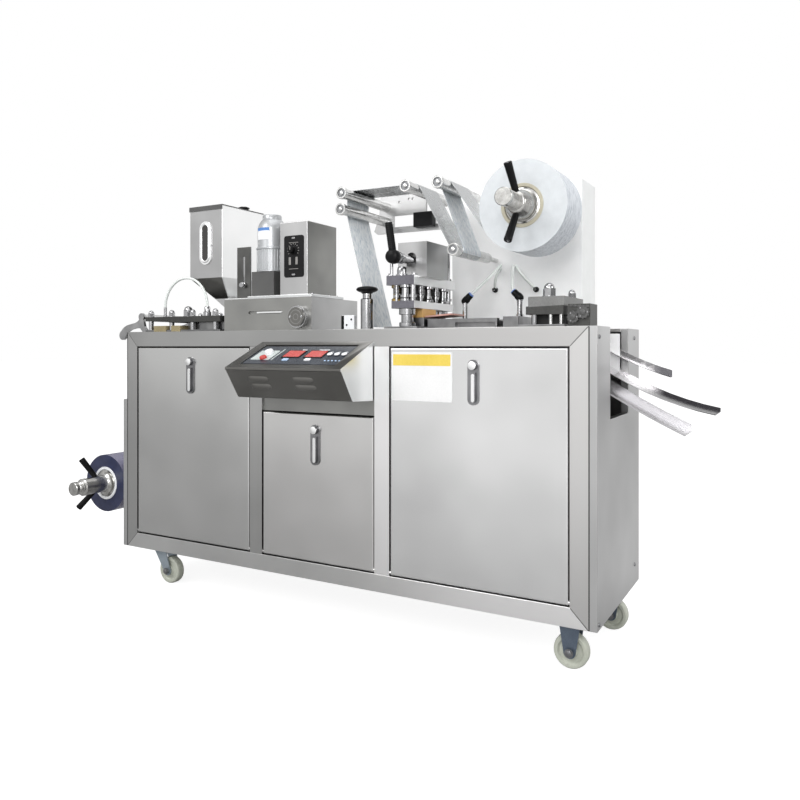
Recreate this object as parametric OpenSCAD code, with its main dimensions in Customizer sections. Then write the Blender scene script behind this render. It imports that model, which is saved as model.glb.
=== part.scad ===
// Flat-plate blister packing machine on a stainless steel cabinet with castors.
// X runs along the film path from the film reel to the chutes, Y points away
// from the operator, Z is up. The origin is on the floor, in the middle.

/* [Cabinet] */
// Length of the cabinet over both end covers
cab_l = 1380; // [1340:5:1500]
// Depth of the cabinet
cab_d = 400; // [380:5:460]
// Height of the cabinet body
cab_h = 620; // [580:5:680]
// Height of the castors, from the floor to the cabinet
castor_h = 100; // [95:1:125]
// Face width of the frame stiles
stile_w = 40; // [34:1:46]
// Face height of the frame rails
rail_h = 42; // [34:1:50]
// Depth of the folded frame members
frame_t = 22; // [20:1:30]
// Depth of the folded end covers
end_t = 17; // [12:1:24]
// Thickness of the sheet steel
sheet = 2; // [1.5:0.5:3]
// Width of the left bay
left_bay_w = 419; // [380:1:440]
// Width of the middle bay
mid_bay_w = 339; // [320:1:360]
// Height of the left end cover
left_cover_h = 425; // [400:5:450]
// Thickness of the table plate
table_t = 8; // [5:1:12]

/* [Panels] */
// Gap round the lift-off front panels
door_gap = 3; // [2.5:0.5:4]
// Depth of the folded front panels
door_t = 18; // [16:1:20]
// Bend radius along the edges of the front panels
door_r = 4; // [2:0.5:5]
// Height of the middle panel's top above the cabinet's foot
mid_door_top = 411; // [380:1:430]
// Radius of the pins at the foot of each panel
pin_r = 4; // [3:0.5:4.5]
// Height of the panel locks
lock_h = 100; // [80:1:110]
// Width of the panel locks
lock_w = 26; // [20:1:30]

/* [Console] */
// How far the console stands out from the front
console_out = 140; // [120:1:160]
// Drop from the table to the console's top edge
console_drop = 30; // [24:1:36]
// Fall of the sloping top
console_fall = 62; // [50:1:70]
// Height of the console at its back
console_h = 140; // [130:1:150]

/* [Feeder] */
// Gap between the forming station and the feeder
feeder_gap = 10; // [6:1:16]
// Length of the feeder body
feeder_l = 295; // [290:1:305]
// Depth of the feeder body
feeder_d = 219; // [210:1:226]
// Height of the feeder body
feeder_h = 86; // [80:1:95]
// Height of the hopper's rim above the table
hopper_top = 354; // [340:1:360]
// Width of the hopper
hopper_w = 123; // [110:1:128]
// Depth of the hopper
hopper_d = 178; // [165:1:185]

/* [Film path] */
// Distance of the film's middle line from the front
film_line = 160; // [155:1:165]
// Width of the foil
foil_w = 104; // [90:1:110]
// Start of the forming station from the left end
forming_at = 38; // [36:1:44]
// Length of the forming station
forming_l = 290; // [280:1:294]
// Start of the sealing station from the left end
seal_at = 860; // [856:1:866]
// Start of the punching station from the left end
punch_at = 1212; // [1206:1:1216]
// Depth of the station plates
plate_d = 226; // [216:1:230]

/* [Reels] */
// Distance of the film reel's axis from the cabinet's left end
film_axis_out = 150; // [145:1:170]
// Height of the film reel's axis above the floor
film_axis_z = 257; // [245:1:270]
// Radius of the film roll
film_r = 87; // [75:1:95]
// Distance of the foil reel's axis from the left end
foil_axis_at = 1188; // [1182:1:1194]
// Height of the foil reel's axis above the table
foil_axis_h = 275; // [270:1:280]
// Radius of the foil roll
foil_r = 104; // [98:1:105]
// Width of the film roll
film_roll_w = 145; // [130:1:150]
// Width of the foil roll
foil_roll_w = 115; // [112:1:120]
// Outer radius of a roll's core
core_r = 50; // [46:1:52]
// Radius of the threaded spindles
spindle_r = 17; // [14:1:19]

/* [Upright] */
// Start of the upright housing from the left end
upright_at = 900; // [894:1:904]
// Length of the upright housing
upright_l = 356; // [350:1:362]
// Height of the upright housing above the table
upright_h = 377; // [372:1:380]
// Distance of the upright housing's face from the front
upright_face = 335; // [330:1:340]
// How far the upright housing overhangs the back
upright_out = 60; // [40:1:70]

/* [Chutes] */
// How far the chutes reach out from the right end
chute_reach = 200; // [185:1:215]
// Width of the discharge cut-out
cutout_w = 174; // [160:1:180]
// Height of the cut-out's sill above the cabinet's foot
cutout_sill = 422; // [410:1:430]

/* [Castors] */
// Radius of the wheels
wheel_r = 37.5; // [32:0.5:38]
// Width of the wheels
wheel_w = 26; // [22:1:28]
// Trail of the swivel castors
castor_trail = 28; // [24:1:32]

/* [Hidden] */
$fn = 48;

// Clearance of pieces that seat on each other without touching
seat = 0.3;
// Radial running clearance of pins and shafts
run_fit = 0.05;

// Cabinet limits in the part's frame
cab_cx = (film_axis_out + film_r - chute_reach) / 2;
x_left = cab_cx - cab_l / 2;
x_right = cab_cx + cab_l / 2;
y_front = console_out - (console_out + cab_d + upright_out) / 2;
y_back = y_front + cab_d;
z_foot = castor_h;
z_table = castor_h + cab_h;
film_y = y_front + film_line;

// Front frame: inner limits and bays
x_frame_0 = x_left + end_t;
x_frame_1 = x_right - end_t;
z_open_0 = z_foot + rail_h;
z_open_1 = z_table - rail_h;
left_bay = [x_frame_0 + stile_w, x_frame_0 + stile_w + left_bay_w];
mid_bay = [left_bay[1] + stile_w, left_bay[1] + stile_w + mid_bay_w];
right_bay = [mid_bay[1] + stile_w, x_frame_1 - stile_w];
z_mid_door = z_foot + mid_door_top;
pin_in = 5;
pin_reach = 9;
pin_bore = 10;
y_pin = y_front + pin_in;
z_pin = z_open_0 + door_gap + pin_in;

// Colours
steel = "silver";
bright = "gainsboro";
dark = "dimgray";
black = "#202022";
tan_board = "burlywood";
cream = "ivory";

// Basic shapes
// Box between two corners
module slab(x0, x1, y0, y1, z0, z1) {
    translate([x0, y0, z0]) cube([x1 - x0, y1 - y0, z1 - z0]);
}

// Outline in X and Z, extruded along Y between two planes
module xz_plate(points, y0, y1) {
    translate([0, y1, 0]) rotate([90, 0, 0]) linear_extrude(y1 - y0) polygon(points);
}

// Outline in Y and Z, extruded along X between two planes
module yz_bar(points, x0, x1) {
    translate([x0, 0, 0]) rotate([90, 0, 90]) linear_extrude(x1 - x0) polygon(points);
}

// Round bar along Y between two planes
module y_bar(x, z, r, y0, y1) {
    translate([x, y1, z]) rotate([90, 0, 0]) cylinder(h = y1 - y0, r = r);
}

// Round bar along Z between two heights
module z_bar(x, y, r, z0, z1) {
    translate([x, y, z0]) cylinder(h = z1 - z0, r = r);
}

// Front outline in X and Y with two rounded front corners
module pan_plan(x0, x1, y0, y1, r) {
    translate([x0, y0 + r]) square([x1 - x0, y1 - y0 - r]);
    translate([x0 + r, y0]) square([x1 - x0 - 2 * r, r + 1]);
    for (x = [x0 + r, x1 - r]) translate([x, y0 + r]) circle(r);
}

// Domed nut on a plate, standing at a height
module acorn_nut(x, y, z, r, h) {
    translate([x, y, z]) cylinder(h = h - r, r = r * 1.15, $fn = 6);
    translate([x, y, z + h - r]) intersection() {
        sphere(r);
        translate([-r, -r, -0.5]) cube([2 * r, 2 * r, r + 1]);
    }
}

// Cabinet frame
module front_rails() color(bright) {
    xz_plate([[x_frame_0, z_table], [x_frame_1, z_table],
              [x_frame_1 - stile_w, z_open_1], [x_frame_0 + stile_w, z_open_1]],
             y_front, y_front + frame_t);
    xz_plate([[x_frame_0, z_foot], [x_frame_1, z_foot],
              [x_frame_1 - stile_w, z_open_0], [x_frame_0 + stile_w, z_open_0]],
             y_front, y_front + frame_t);
}

// Blind bore for a panel pin, entering a stile from the side that side points to
module pin_hole(x, side) {
    translate([x, y_pin, z_pin]) rotate([0, side * 90, 0]) translate([0, 0, -1])
        cylinder(h = pin_bore + 1, r = pin_r + run_fit);
}

module front_stiles() color(bright) difference() {
    union() {
        xz_plate([[x_frame_0, z_foot], [left_bay[0], z_open_0],
                  [left_bay[0], z_open_1], [x_frame_0, z_table]], y_front, y_front + frame_t);
        slab(left_bay[1], mid_bay[0], y_front, y_front + frame_t, z_open_0, z_open_1);
        slab(mid_bay[1], right_bay[0], y_front, y_front + frame_t, z_open_0, z_open_1);
        xz_plate([[x_frame_1, z_foot], [right_bay[1], z_open_0],
                  [right_bay[1], z_open_1], [x_frame_1, z_table]], y_front, y_front + frame_t);
    }
    for (bay = [left_bay, mid_bay, right_bay]) {
        pin_hole(bay[0], -1);
        pin_hole(bay[1], 1);
    }
}

backing_in = 6;
module console_backing() color(steel)
    slab(mid_bay[0], mid_bay[1], y_front + backing_in, y_front + backing_in + sheet,
         z_mid_door + door_gap, z_open_1);

// The table is notched at its right end, over the chutes
notch_l = 50;
cutout_y = [film_y + 35 - cutout_w / 2, film_y + 35 + cutout_w / 2];
module table_top() color(bright) difference() {
    slab(x_frame_0, x_frame_1, y_front + frame_t, y_back, z_table - table_t, z_table);
    slab(x_frame_1 - notch_l, x_frame_1 + 1, cutout_y[0], cutout_y[1],
         z_table - table_t - 1, z_table + 1);
}

module base_pan() color(steel)
    slab(x_frame_0, x_frame_1, y_front + frame_t, y_back - sheet, z_foot, z_foot + sheet);

module back_panel() color(steel)
    slab(x_frame_0, x_frame_1, y_back - sheet, y_back, z_foot, z_table - table_t);

module left_end_panel() color(steel)
    slab(x_frame_0, x_frame_0 + sheet, y_front + frame_t, y_back - sheet,
         z_foot + sheet, z_table - table_t);

// Folded covers: open towards the cabinet
module left_end_cover() color(steel) difference() {
    slab(x_left, x_frame_0, y_front, y_back, z_foot, z_foot + left_cover_h);
    slab(x_left + sheet, x_frame_0 + 1, y_front + sheet, y_back - sheet,
         z_foot + sheet, z_foot + left_cover_h - sheet);
}

module right_end_cover() color(steel) difference() {
    slab(x_frame_1, x_right, y_front, y_back, z_foot, z_table);
    difference() {
        slab(x_frame_1 - 1, x_right - sheet, y_front + sheet, y_back - sheet,
             z_foot + sheet, z_table - sheet);
        slab(x_frame_1 - 2, x_right + 1, cutout_y[0] - sheet, cutout_y[1] + sheet,
             z_foot + cutout_sill - sheet, z_table + 1);
    }
    slab(x_frame_1 - 1, x_right + 1, cutout_y[0], cutout_y[1], z_foot + cutout_sill, z_table + 1);
}

// Front panels: folded pans with rounded edges, on two pins at the foot
module door_pan(bay, z_top) {
    x0 = bay[0] + door_gap;
    x1 = bay[1] - door_gap;
    z0 = z_open_0 + door_gap;
    difference() {
        intersection() {
            translate([0, 0, z0]) linear_extrude(z_top - z0)
                pan_plan(x0, x1, y_front, y_front + door_t, door_r);
            translate([x0 - 1, 0, 0]) rotate([90, 0, 90]) linear_extrude(x1 - x0 + 2)
                rotate([0, 0, 90]) mirror([0, 1])
                    pan_plan(z0, z_top, y_front, y_front + door_t, door_r);
        }
        slab(x0 + sheet, x1 - sheet, y_front + sheet, y_front + door_t + 1,
             z0 + sheet, z_top - sheet);
    }
    for (side = [[x0 + sheet, -1], [x1 - sheet, 1]])
        translate([side[0], y_pin, z_pin]) rotate([0, side[1] * 90, 0])
            cylinder(h = sheet + door_gap + pin_reach, r = pin_r);
}

module left_door() color(steel) door_pan(left_bay, z_open_1 - door_gap);
module middle_door() color(steel) door_pan(mid_bay, z_mid_door);
module right_door() color(steel) door_pan(right_bay, z_open_1 - door_gap);

// Flush lock with a long bar and a round button, standing on a panel's face
lock_drop = 26;
lock_plate_t = 4;
lock_bar_t = 9;
module panel_lock(bay, z_top) {
    x = (bay[0] + bay[1]) / 2;
    r = lock_w / 2;
    z1 = z_top - lock_drop;
    z0 = z1 - lock_h;
    bar_r = r * 0.6;
    slab(x - r, x + r, y_front - lock_plate_t, y_front, z0 + r, z1 - r);
    for (z = [z0 + r, z1 - r]) y_bar(x, z, r, y_front - lock_plate_t, y_front);
    y_bar(x, z1 - r, r * 0.75, y_front - lock_bar_t - 2, y_front - lock_plate_t);
    slab(x - bar_r, x + bar_r, y_front - lock_bar_t, y_front - lock_plate_t,
         z0 + r, z1 - 2.2 * r);
    y_bar(x, z0 + r, bar_r, y_front - lock_bar_t, y_front - lock_plate_t);
}

module left_lock() color(bright) panel_lock(left_bay, z_open_1 - door_gap);
module middle_lock() color(bright) panel_lock(mid_bay, z_mid_door);
module right_lock() color(bright) panel_lock(right_bay, z_open_1 - door_gap);

// Control console: folded housing with a sloping top
console_x = [mid_bay[0] + 2, mid_bay[1] - 2];
z_console = z_table - console_drop;
console_nose = 43;
slope = atan2(console_fall, console_out);
top_run = sqrt(console_fall * console_fall + console_out * console_out);
keypad_in = [28, 20, 8];
lip = 5;
bend_r = 9;
z_nose = z_console - console_fall;
bend_c = [y_front - console_out + console_nose + 10, z_console - console_h + bend_r + 3];
console_profile = concat(
    [[y_front, z_console], [y_front - console_out, z_nose], [y_front - console_out, z_nose - lip],
     [y_front - console_out + 3, z_nose - lip - 2]],
    [for (a = [205:13:270]) [bend_c[0] + bend_r * cos(a), bend_c[1] + bend_r * sin(a)]],
    [[y_front, z_console - console_h]]);
// Places its children on the sloping top, with X along it and Y up the slope
module on_console() {
    translate([console_x[0], y_front, z_console]) rotate([slope, 0, 0]) children();
}
console_w = console_x[1] - console_x[0];
module console_housing() color(dark) difference() {
    yz_bar(console_profile, console_x[0], console_x[1]);
    on_console() translate([keypad_in[0], -top_run + keypad_in[1], -keypad_in[2]])
        cube([console_w - 2 * keypad_in[0], top_run - 2 * keypad_in[1], keypad_in[2] + 20]);
}

button_r = 6;
module keypad() color(black) on_console() {
    gap = seat;
    translate([keypad_in[0] + gap, -top_run + keypad_in[1] + gap, -keypad_in[2]])
        cube([console_w - 2 * keypad_in[0] - 2 * gap, top_run - 2 * keypad_in[1] - 2 * gap,
              keypad_in[2] - 2]);
    for (i = [0:2]) translate([console_w * 0.773 + i * 20, -top_run * 0.5, -2.1])
        cylinder(h = 4.1, r = button_r);
}

// Feeder
forming_x = [x_left + forming_at, x_left + forming_at + forming_l];
feeder_x = [forming_x[1] + feeder_gap, forming_x[1] + feeder_gap + feeder_l];
feeder_y = [y_front + 55, y_front + 55 + feeder_d];
z_feeder = z_table + feeder_h;
dial_r = 29;
dial_c = [feeder_x[1] - 37, z_table + 34.5];
slit_x = [dial_c[0] - 168, dial_c[0] - 62];
slit_z = z_table + 49;
slit_r = 4;
// Body with a round adjusting dial and a long slit in its front
module feeder_base() color(steel) difference() {
    union() {
        slab(feeder_x[0], feeder_x[1], feeder_y[0], feeder_y[1], z_table, z_feeder);
        y_bar(dial_c[0], dial_c[1], dial_r, feeder_y[0] - 14, feeder_y[0]);
        y_bar(dial_c[0], dial_c[1], dial_r - 4, feeder_y[0] - 18, feeder_y[0] - 14);
    }
    slab(slit_x[0], slit_x[1], feeder_y[0] - 1, feeder_y[0] + 6, slit_z - slit_r, slit_z + slit_r);
    for (x = slit_x) y_bar(x, slit_z, slit_r, feeder_y[0] - 1, feeder_y[0] + 6);
}
lid_t = 8;
lid_back_in = 69;
gearbox_w = 76;
gearbox_gap = 22;
speed_x = [feeder_x[1] - 113, feeder_x[1] - 24];
gearbox_x = [speed_x[0] - gearbox_gap - gearbox_w, speed_x[0] - gearbox_gap];
z_lid = z_feeder + lid_t;
z_lid_low = z_feeder + 4;
lid_step_x = gearbox_x[0] - 2;
module feeder_lid() color(bright) {
    slab(feeder_x[0], lid_step_x, feeder_y[0], feeder_y[1] - lid_back_in, z_feeder, z_lid_low);
    slab(lid_step_x, feeder_x[1], feeder_y[0], feeder_y[1] - lid_back_in, z_feeder, z_lid);
}

// Hopper: open box on a skewed funnel that runs down beside the feeder
hopper_x = [feeder_x[0] - 22 - hopper_w, feeder_x[0] - 22];
hopper_y = [film_y - hopper_d / 2, film_y + hopper_d / 2];
z_rim = z_table + hopper_top;
z_hip = z_table + 152;
z_neck = z_table + 95;
neck_x = [feeder_x[0] - 86, feeder_x[0] - 36];
neck_y = [film_y - 50, film_y + 50];
spout_x = [feeder_x[0] - 26, feeder_x[0]];
z_spout = z_table + 53;
window_h = 104;
window_w = 26;
// Hopper's shape in the two upright planes, drawn in from the walls by inset
module hopper_core(inset) intersection() {
    xz_plate([[hopper_x[0] + inset, z_rim + inset], [hopper_x[1] - inset, z_rim + inset],
              [hopper_x[1] - inset, z_hip], [neck_x[1] - inset, z_neck], [spout_x[1] - inset, z_spout - inset],
              [spout_x[0] + inset, z_spout - inset], [neck_x[0] + inset, z_neck], [hopper_x[0] + inset, z_hip]],
             hopper_y[0] - 1, hopper_y[1] + 1);
    yz_bar([[hopper_y[0] + inset, z_rim + 5], [hopper_y[0] + inset, z_hip], [neck_y[0] + inset, z_neck],
            [neck_y[0] + inset, z_spout - 5], [neck_y[1] - inset, z_spout - 5], [neck_y[1] - inset, z_neck],
            [hopper_y[1] - inset, z_hip], [hopper_y[1] - inset, z_rim + 5]],
           hopper_x[0] - 1, spout_x[1] + 1);
}
window_x = (hopper_x[0] + hopper_x[1]) / 2;
z_window = [z_hip + 47, z_hip + 47 + window_h];
// Stadium-shaped block through the hopper's front wall
module window_block(r, y0, y1) {
    slab(window_x - r, window_x + r, y0, y1, z_window[0] + window_w / 2, z_window[1] - window_w / 2);
    for (z = [z_window[0] + window_w / 2, z_window[1] - window_w / 2]) y_bar(window_x, z, r, y0, y1);
}
module hopper() color(steel) difference() {
    hopper_core(0);
    hopper_core(sheet);
    window_block(window_w / 2, hopper_y[0] - 1, hopper_y[0] + sheet + 1);
}
module hopper_window() color("dimgray")
    window_block(window_w / 2 + 9, hopper_y[0] - 3, hopper_y[0]);

// Lid: flat plate over the hopper's rim with a flap turned down in front, and a knob
skirt_h = 11;
skirt_t = 1.5;
lid_gap = 0.5;
module hopper_lid() color(dark) {
    out = lid_gap + skirt_t;
    slab(hopper_x[0] - 1, hopper_x[1] + 1, hopper_y[0] - out, hopper_y[1] + 1, z_rim + seat, z_rim + seat + 2);
    slab(hopper_x[0] - 1, hopper_x[1] + 1, hopper_y[0] - out, hopper_y[0] - lid_gap,
         z_rim - skirt_h, z_rim + seat);
    z_bar(hopper_x[1] - 16, hopper_y[1] - 70, 5, z_rim + seat + 2, z_rim + seat + 7);
    z_bar(hopper_x[1] - 16, hopper_y[1] - 70, 11, z_rim + seat + 7, z_rim + seat + 12);
}

// Slotted plate that sets the flow out of the funnel
gate_x = [gearbox_x[0] - 51, gearbox_x[0] - 3];
module gate_plate() color(dark) difference() {
    union() {
    slab(gate_x[0], gate_x[1], feeder_y[0] + 15, feeder_y[0] + 18, z_lid_low, z_lid + 136);
    slab(gate_x[0], gate_x[0] + 3, feeder_y[0] + 18, feeder_y[0] + 50, z_lid_low, z_lid + 136);
    }
    slab((gate_x[0] + gate_x[1]) / 2 - 4, (gate_x[0] + gate_x[1]) / 2 + 4,
         feeder_y[0] + 14, feeder_y[0] + 19, z_lid + 40, z_lid + 110);
}

gearbox_y = [feeder_y[0] + 15, feeder_y[0] + 95];
gearbox_h = 67;
z_gearbox = z_lid + gearbox_h;
motor_r = 43;
motor_xy = [(gearbox_x[0] + gearbox_x[1]) / 2 + 1, (gearbox_y[0] + gearbox_y[1]) / 2];
// Motor's outline: radius and height above the gearbox
motor_outline = [[0, 0], [motor_r, 0], [motor_r, 62], [motor_r - 3, 64], [motor_r - 3.5, 136],
                 [motor_r - 8, 145], [motor_r - 21, 149], [motor_r - 21, 156], [0, 156]];
module motor_gearbox() color(dark)
    slab(gearbox_x[0], gearbox_x[1], gearbox_y[0], gearbox_y[1], z_lid, z_gearbox);
module feeder_motor() color(steel)
    translate([motor_xy[0], motor_xy[1], z_gearbox]) rotate_extrude() polygon(motor_outline);

speed_y = [feeder_y[0] + 15, feeder_y[1] - lid_back_in];
speed_h = 193;
module speed_control_box() color(steel)
    slab(speed_x[0], speed_x[1], speed_y[0], speed_y[1], z_lid, z_lid + speed_h);

// Stations along the film
plate_y = [film_y - plate_d / 2, film_y + plate_d / 2];
seal_x = x_left + seal_at;
punch_x = x_left + punch_at;
bed_h = 6;
z_bed = z_table + bed_h;
heater_gap = 26;
z_heater = z_bed + heater_gap;
heater_t = 12;
under_plate_t = 5;
under_plate_at = 95;
seal_w = 76.5;
seal_low_in = 14;
z_seal_low = z_table + 49;
z_seal_high = z_table + 105;
seal_plate_t = [18, 23];
seal_low_y = [plate_y[0], plate_y[1] - 8];
track_x = [seal_x + 84, seal_x + 264];
track_h = 24;
track_y = [film_y - 60, film_y + 60];
pad_x = [track_x[1] + 14, punch_x - 36];
pad_h = 27;
punch_w = 86;
punch_y = [plate_y[0], plate_y[1] - 80];
z_punch_low = z_table + 27;
z_punch_high = z_table + 46;
punch_plate_t = [18, 20];
anvil_x = [seal_x + 36, seal_x + 80];
anvil_y = [film_y - 71, film_y + 10];
anvil_h = 22;
// Beds on the table: forming block, sealing anvil, slotted film track, fitting pad, punch bed, film guide
module station_beds() color(steel) {
    slab(forming_x[0], forming_x[1], plate_y[0], plate_y[1], z_table, z_bed);
    slab(forming_x[0] + 150, forming_x[1], plate_y[0] + 22, plate_y[1] - 22, z_bed, z_heater - under_plate_t);
    slab(seal_x - 6, track_x[0], plate_y[0], plate_y[1], z_table, z_bed);
    slab(anvil_x[0], anvil_x[1], anvil_y[0], anvil_y[1], z_bed, z_bed + anvil_h);
    difference() {
        slab(track_x[0], track_x[1], track_y[0], track_y[1], z_table, z_table + track_h);
        slab(track_x[0] + 74, track_x[1] - 6, track_y[0] - 1, track_y[0] + 14, z_table + 4, z_table + 15);
        slab(track_x[0] + 10, track_x[1] + 1, film_y - 44, film_y + 44, z_table + track_h - 5, z_table + track_h + 1);
    }
    slab(pad_x[0], pad_x[1], track_y[0], track_y[1], z_table, z_table + pad_h);
    slab(punch_x - 20, punch_x + punch_w, punch_y[0], punch_y[1], z_table, z_bed);
    slab(x_left + 699, x_left + 738, film_y - 66, film_y - 54, z_table, z_table + 38);
}

module heater_plate() color(dark) {
    slab(forming_x[0], forming_x[1], plate_y[0], plate_y[1], z_heater, z_heater + heater_t);
    slab(forming_x[0] + under_plate_at, forming_x[1], plate_y[0], plate_y[1], z_heater - under_plate_t, z_heater);
}

block_w = [50, 36];
block_h_low = 12;
block_x = [forming_x[0] + 36, forming_x[0] + 106];
bakelite_x = [anvil_x[0] + 4, seal_x + seal_w];
module insulation_blocks() color(tan_board) {
    for (i = [0:1]) slab(block_x[i], block_x[i] + block_w[i], plate_y[0], plate_y[1], z_bed, z_bed + block_h_low);
    slab(bakelite_x[0], bakelite_x[1], anvil_y[0] + 2, anvil_y[1] - 8, z_bed + anvil_h, z_seal_low);
}

post_r = 9;
nut_r = 8;
nut_h = 20;
big_nut_r = 12;
big_nut_h = 30;
post_in = 12;
forming_post_x = [forming_x[0] + post_in, forming_x[0] + forming_l * 0.331,
                  forming_x[0] + forming_l * 0.614, forming_x[1] - 26];
post_y = [plate_y[0] + post_in, plate_y[1] - post_in];
// Sealing station's small posts: place in X and Y, radius
seal_posts = [
    [seal_x + 23, post_y[0] - 1, 5], [seal_x + 46, post_y[0], 9], [seal_x + 67, post_y[0], 6],
    [seal_x + 67, film_y - 62, 5], [seal_x + 67, film_y - 22, 6], [seal_x + 67, film_y + 20, 5],
    [seal_x + 67, film_y + 60, 6], [seal_x + 67, post_y[1] - 8, 6], [seal_x + 23, post_y[1] - 8, 6]
];
collar_out = 3;
collar_h = 7;
// Stepped pillars under the sealing plates: radius and height of each step
pillar_steps = [[20, 0, 10], [15, 10, 28], [20.5, 28, 43]];
pillar_xy = [[seal_x + 47, film_y - 92], [seal_x + 47, film_y + 84]];
punch_posts = [[punch_x + 16, punch_y[0] + post_in], [punch_x + 16, punch_y[1] - post_in],
               [punch_x + 72, film_y - 9]];
column_xy = [x_left + 798, film_y - 100];
column_r = 16;
column_h = 76;
neck_r = 11;
neck_h = 12;
roller5_x = x_left + 1028;
roller5_z = z_table + 184;
roller_r = 13;
module guide_posts() color("white") {
    for (x = forming_post_x) for (y = post_y) {
        z_bar(x, y, post_r * 0.8, z_bed,
              x < forming_x[0] + under_plate_at - post_r ? z_heater : z_heater - under_plate_t);
        acorn_nut(x, y, z_heater + heater_t, nut_r, nut_h);
    }
    for (p = seal_posts) {
        z_bar(p[0], p[1], p[2], z_seal_low + seal_plate_t[0], z_seal_high);
        z_bar(p[0], p[1], p[2] + collar_out, z_seal_low + seal_plate_t[0] + 8,
              z_seal_low + seal_plate_t[0] + 8 + collar_h);
    }
    for (p = pillar_xy) for (k = pillar_steps) z_bar(p[0], p[1], k[0], z_bed + k[1], z_bed + k[2]);
    for (p = punch_posts) z_bar(p[0], p[1], post_r * 0.7, z_bed, z_punch_low);
    acorn_nut(punch_posts[2][0], punch_posts[2][1], z_punch_high + punch_plate_t[1], nut_r, nut_h);
    acorn_nut(forming_x[0] + 150, film_y - 90, z_heater + heater_t, big_nut_r, big_nut_h);
    acorn_nut(punch_x + 48, film_y - 97, z_punch_high + punch_plate_t[1], big_nut_r, big_nut_h);
    z_bar(column_xy[0], column_xy[1], column_r, z_table, z_table + column_h);
    z_bar(column_xy[0], column_xy[1], neck_r, z_table + column_h, z_table + column_h + neck_h);
    for (rod = [[seal_x + 70, film_y + 88, 4, 77], [seal_x + 58, film_y + 96, 3, 70],
                [seal_x + 10, film_y - 104, 4, 30]])
        z_bar(rod[0], rod[1], rod[2], z_seal_high + seal_plate_t[1], z_seal_high + seal_plate_t[1] + rod[3]);
}

module sealing_plates() color(steel) {
    slab(seal_x + seal_low_in, seal_x + seal_w, seal_low_y[0], seal_low_y[1],
         z_seal_low, z_seal_low + seal_plate_t[0]);
    slab(seal_x, seal_x + seal_w, plate_y[0], plate_y[1], z_seal_high, z_seal_high + seal_plate_t[1]);
}

// Housing of the cam: overhangs the upper plate's right side, with an arched slot for the shaft
z_block = z_seal_high + seal_plate_t[1];
block_y = [film_y - 93, film_y + 22];
block_h = 80;
block_out = 23;
lever_x = seal_x + 58;
lever_z = z_block + 36;
shaft_r = 10;
shaft_y = [film_y - 194, film_y - 42];
arch_w = 26;
arch_deep = 24;
module sealing_block() color(bright) difference() {
    xz_plate([[seal_x + 21.5, z_block], [seal_x + seal_w, z_block],
              [seal_x + seal_w, z_block - 4], [seal_x + seal_w + block_out, z_block - 4],
              [seal_x + seal_w + block_out, z_block + block_h], [seal_x + 21.5, z_block + block_h]],
             block_y[0], block_y[1]);
    slab(lever_x - arch_w / 2, lever_x + arch_w / 2, block_y[0] - 1, block_y[0] + arch_deep,
         z_block + 8, lever_z + 6);
    y_bar(lever_x, lever_z + 6, arch_w / 2, block_y[0] - 1, block_y[0] + arch_deep);
    y_bar(lever_x, lever_z, shaft_r + run_fit, block_y[0] - 1, shaft_y[1] + 1);
}
grip_r = 9;
grip_reach = [13, 82];
grip_lean = 9;
boss_r = 17;
boss_y = [shaft_y[0], shaft_y[0] + 28];
// Places its children along the lever's grip, which leans to the left
module on_lever() {
    translate([lever_x, (boss_y[0] + boss_y[1]) / 2, lever_z]) rotate([0, -grip_lean, 0]) children();
}
module cam_shaft() color(bright) difference() {
    union() {
        y_bar(lever_x, lever_z, shaft_r, shaft_y[0], shaft_y[1]);
        y_bar(lever_x, lever_z, boss_r, boss_y[0], boss_y[1]);
        y_bar(lever_x, lever_z, shaft_r + 4, boss_y[1], boss_y[1] + 16);
    }
    on_lever() translate([0, 0, grip_reach[0]]) cylinder(h = 60, r = grip_r + run_fit);
}
module cam_grip() color(black) on_lever() {
    translate([0, 0, grip_reach[0]]) cylinder(h = grip_reach[1] - grip_reach[0] - 4, r = grip_r);
    translate([0, 0, grip_reach[1] - 4]) cylinder(h = 4, r = grip_r - 3);
}

// Mushroom knob: radius and height above the column
knob_outline = [[0, 0], [12, 0], [15, 3], [24, 6], [27, 9], [27, 12], [22, 16], [12, 18], [0, 18.5]];
module clamp_knob() color(black)
    translate([column_xy[0], column_xy[1], z_table + column_h + neck_h]) rotate_extrude() polygon(knob_outline);

module punch_plates() color(dark) {
    slab(punch_x, punch_x + punch_w - 2, punch_y[0], punch_y[1],
         z_punch_low, z_punch_low + punch_plate_t[0]);
    slab(punch_x + 5, punch_x + punch_w, punch_y[0], punch_y[1],
         z_punch_low + punch_plate_t[0], z_punch_high + punch_plate_t[1]);
}

chain_gap = 8;
chain_w = 47;
chain_x = [punch_x + punch_w + chain_gap, punch_x + punch_w + chain_gap + chain_w];
// Chain case with two sprocket bosses on its front
module drive_chain() color(black) {
    slab(chain_x[0], chain_x[1], plate_y[0], cutout_y[0] - 4, z_table, z_table + 48);
    y_bar(chain_x[0] + 12, z_table + 20, 12, plate_y[0] - 5, plate_y[0]);
    y_bar(chain_x[1] - 14, z_table + 30, 13, plate_y[0] - 5, plate_y[0]);
}

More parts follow.
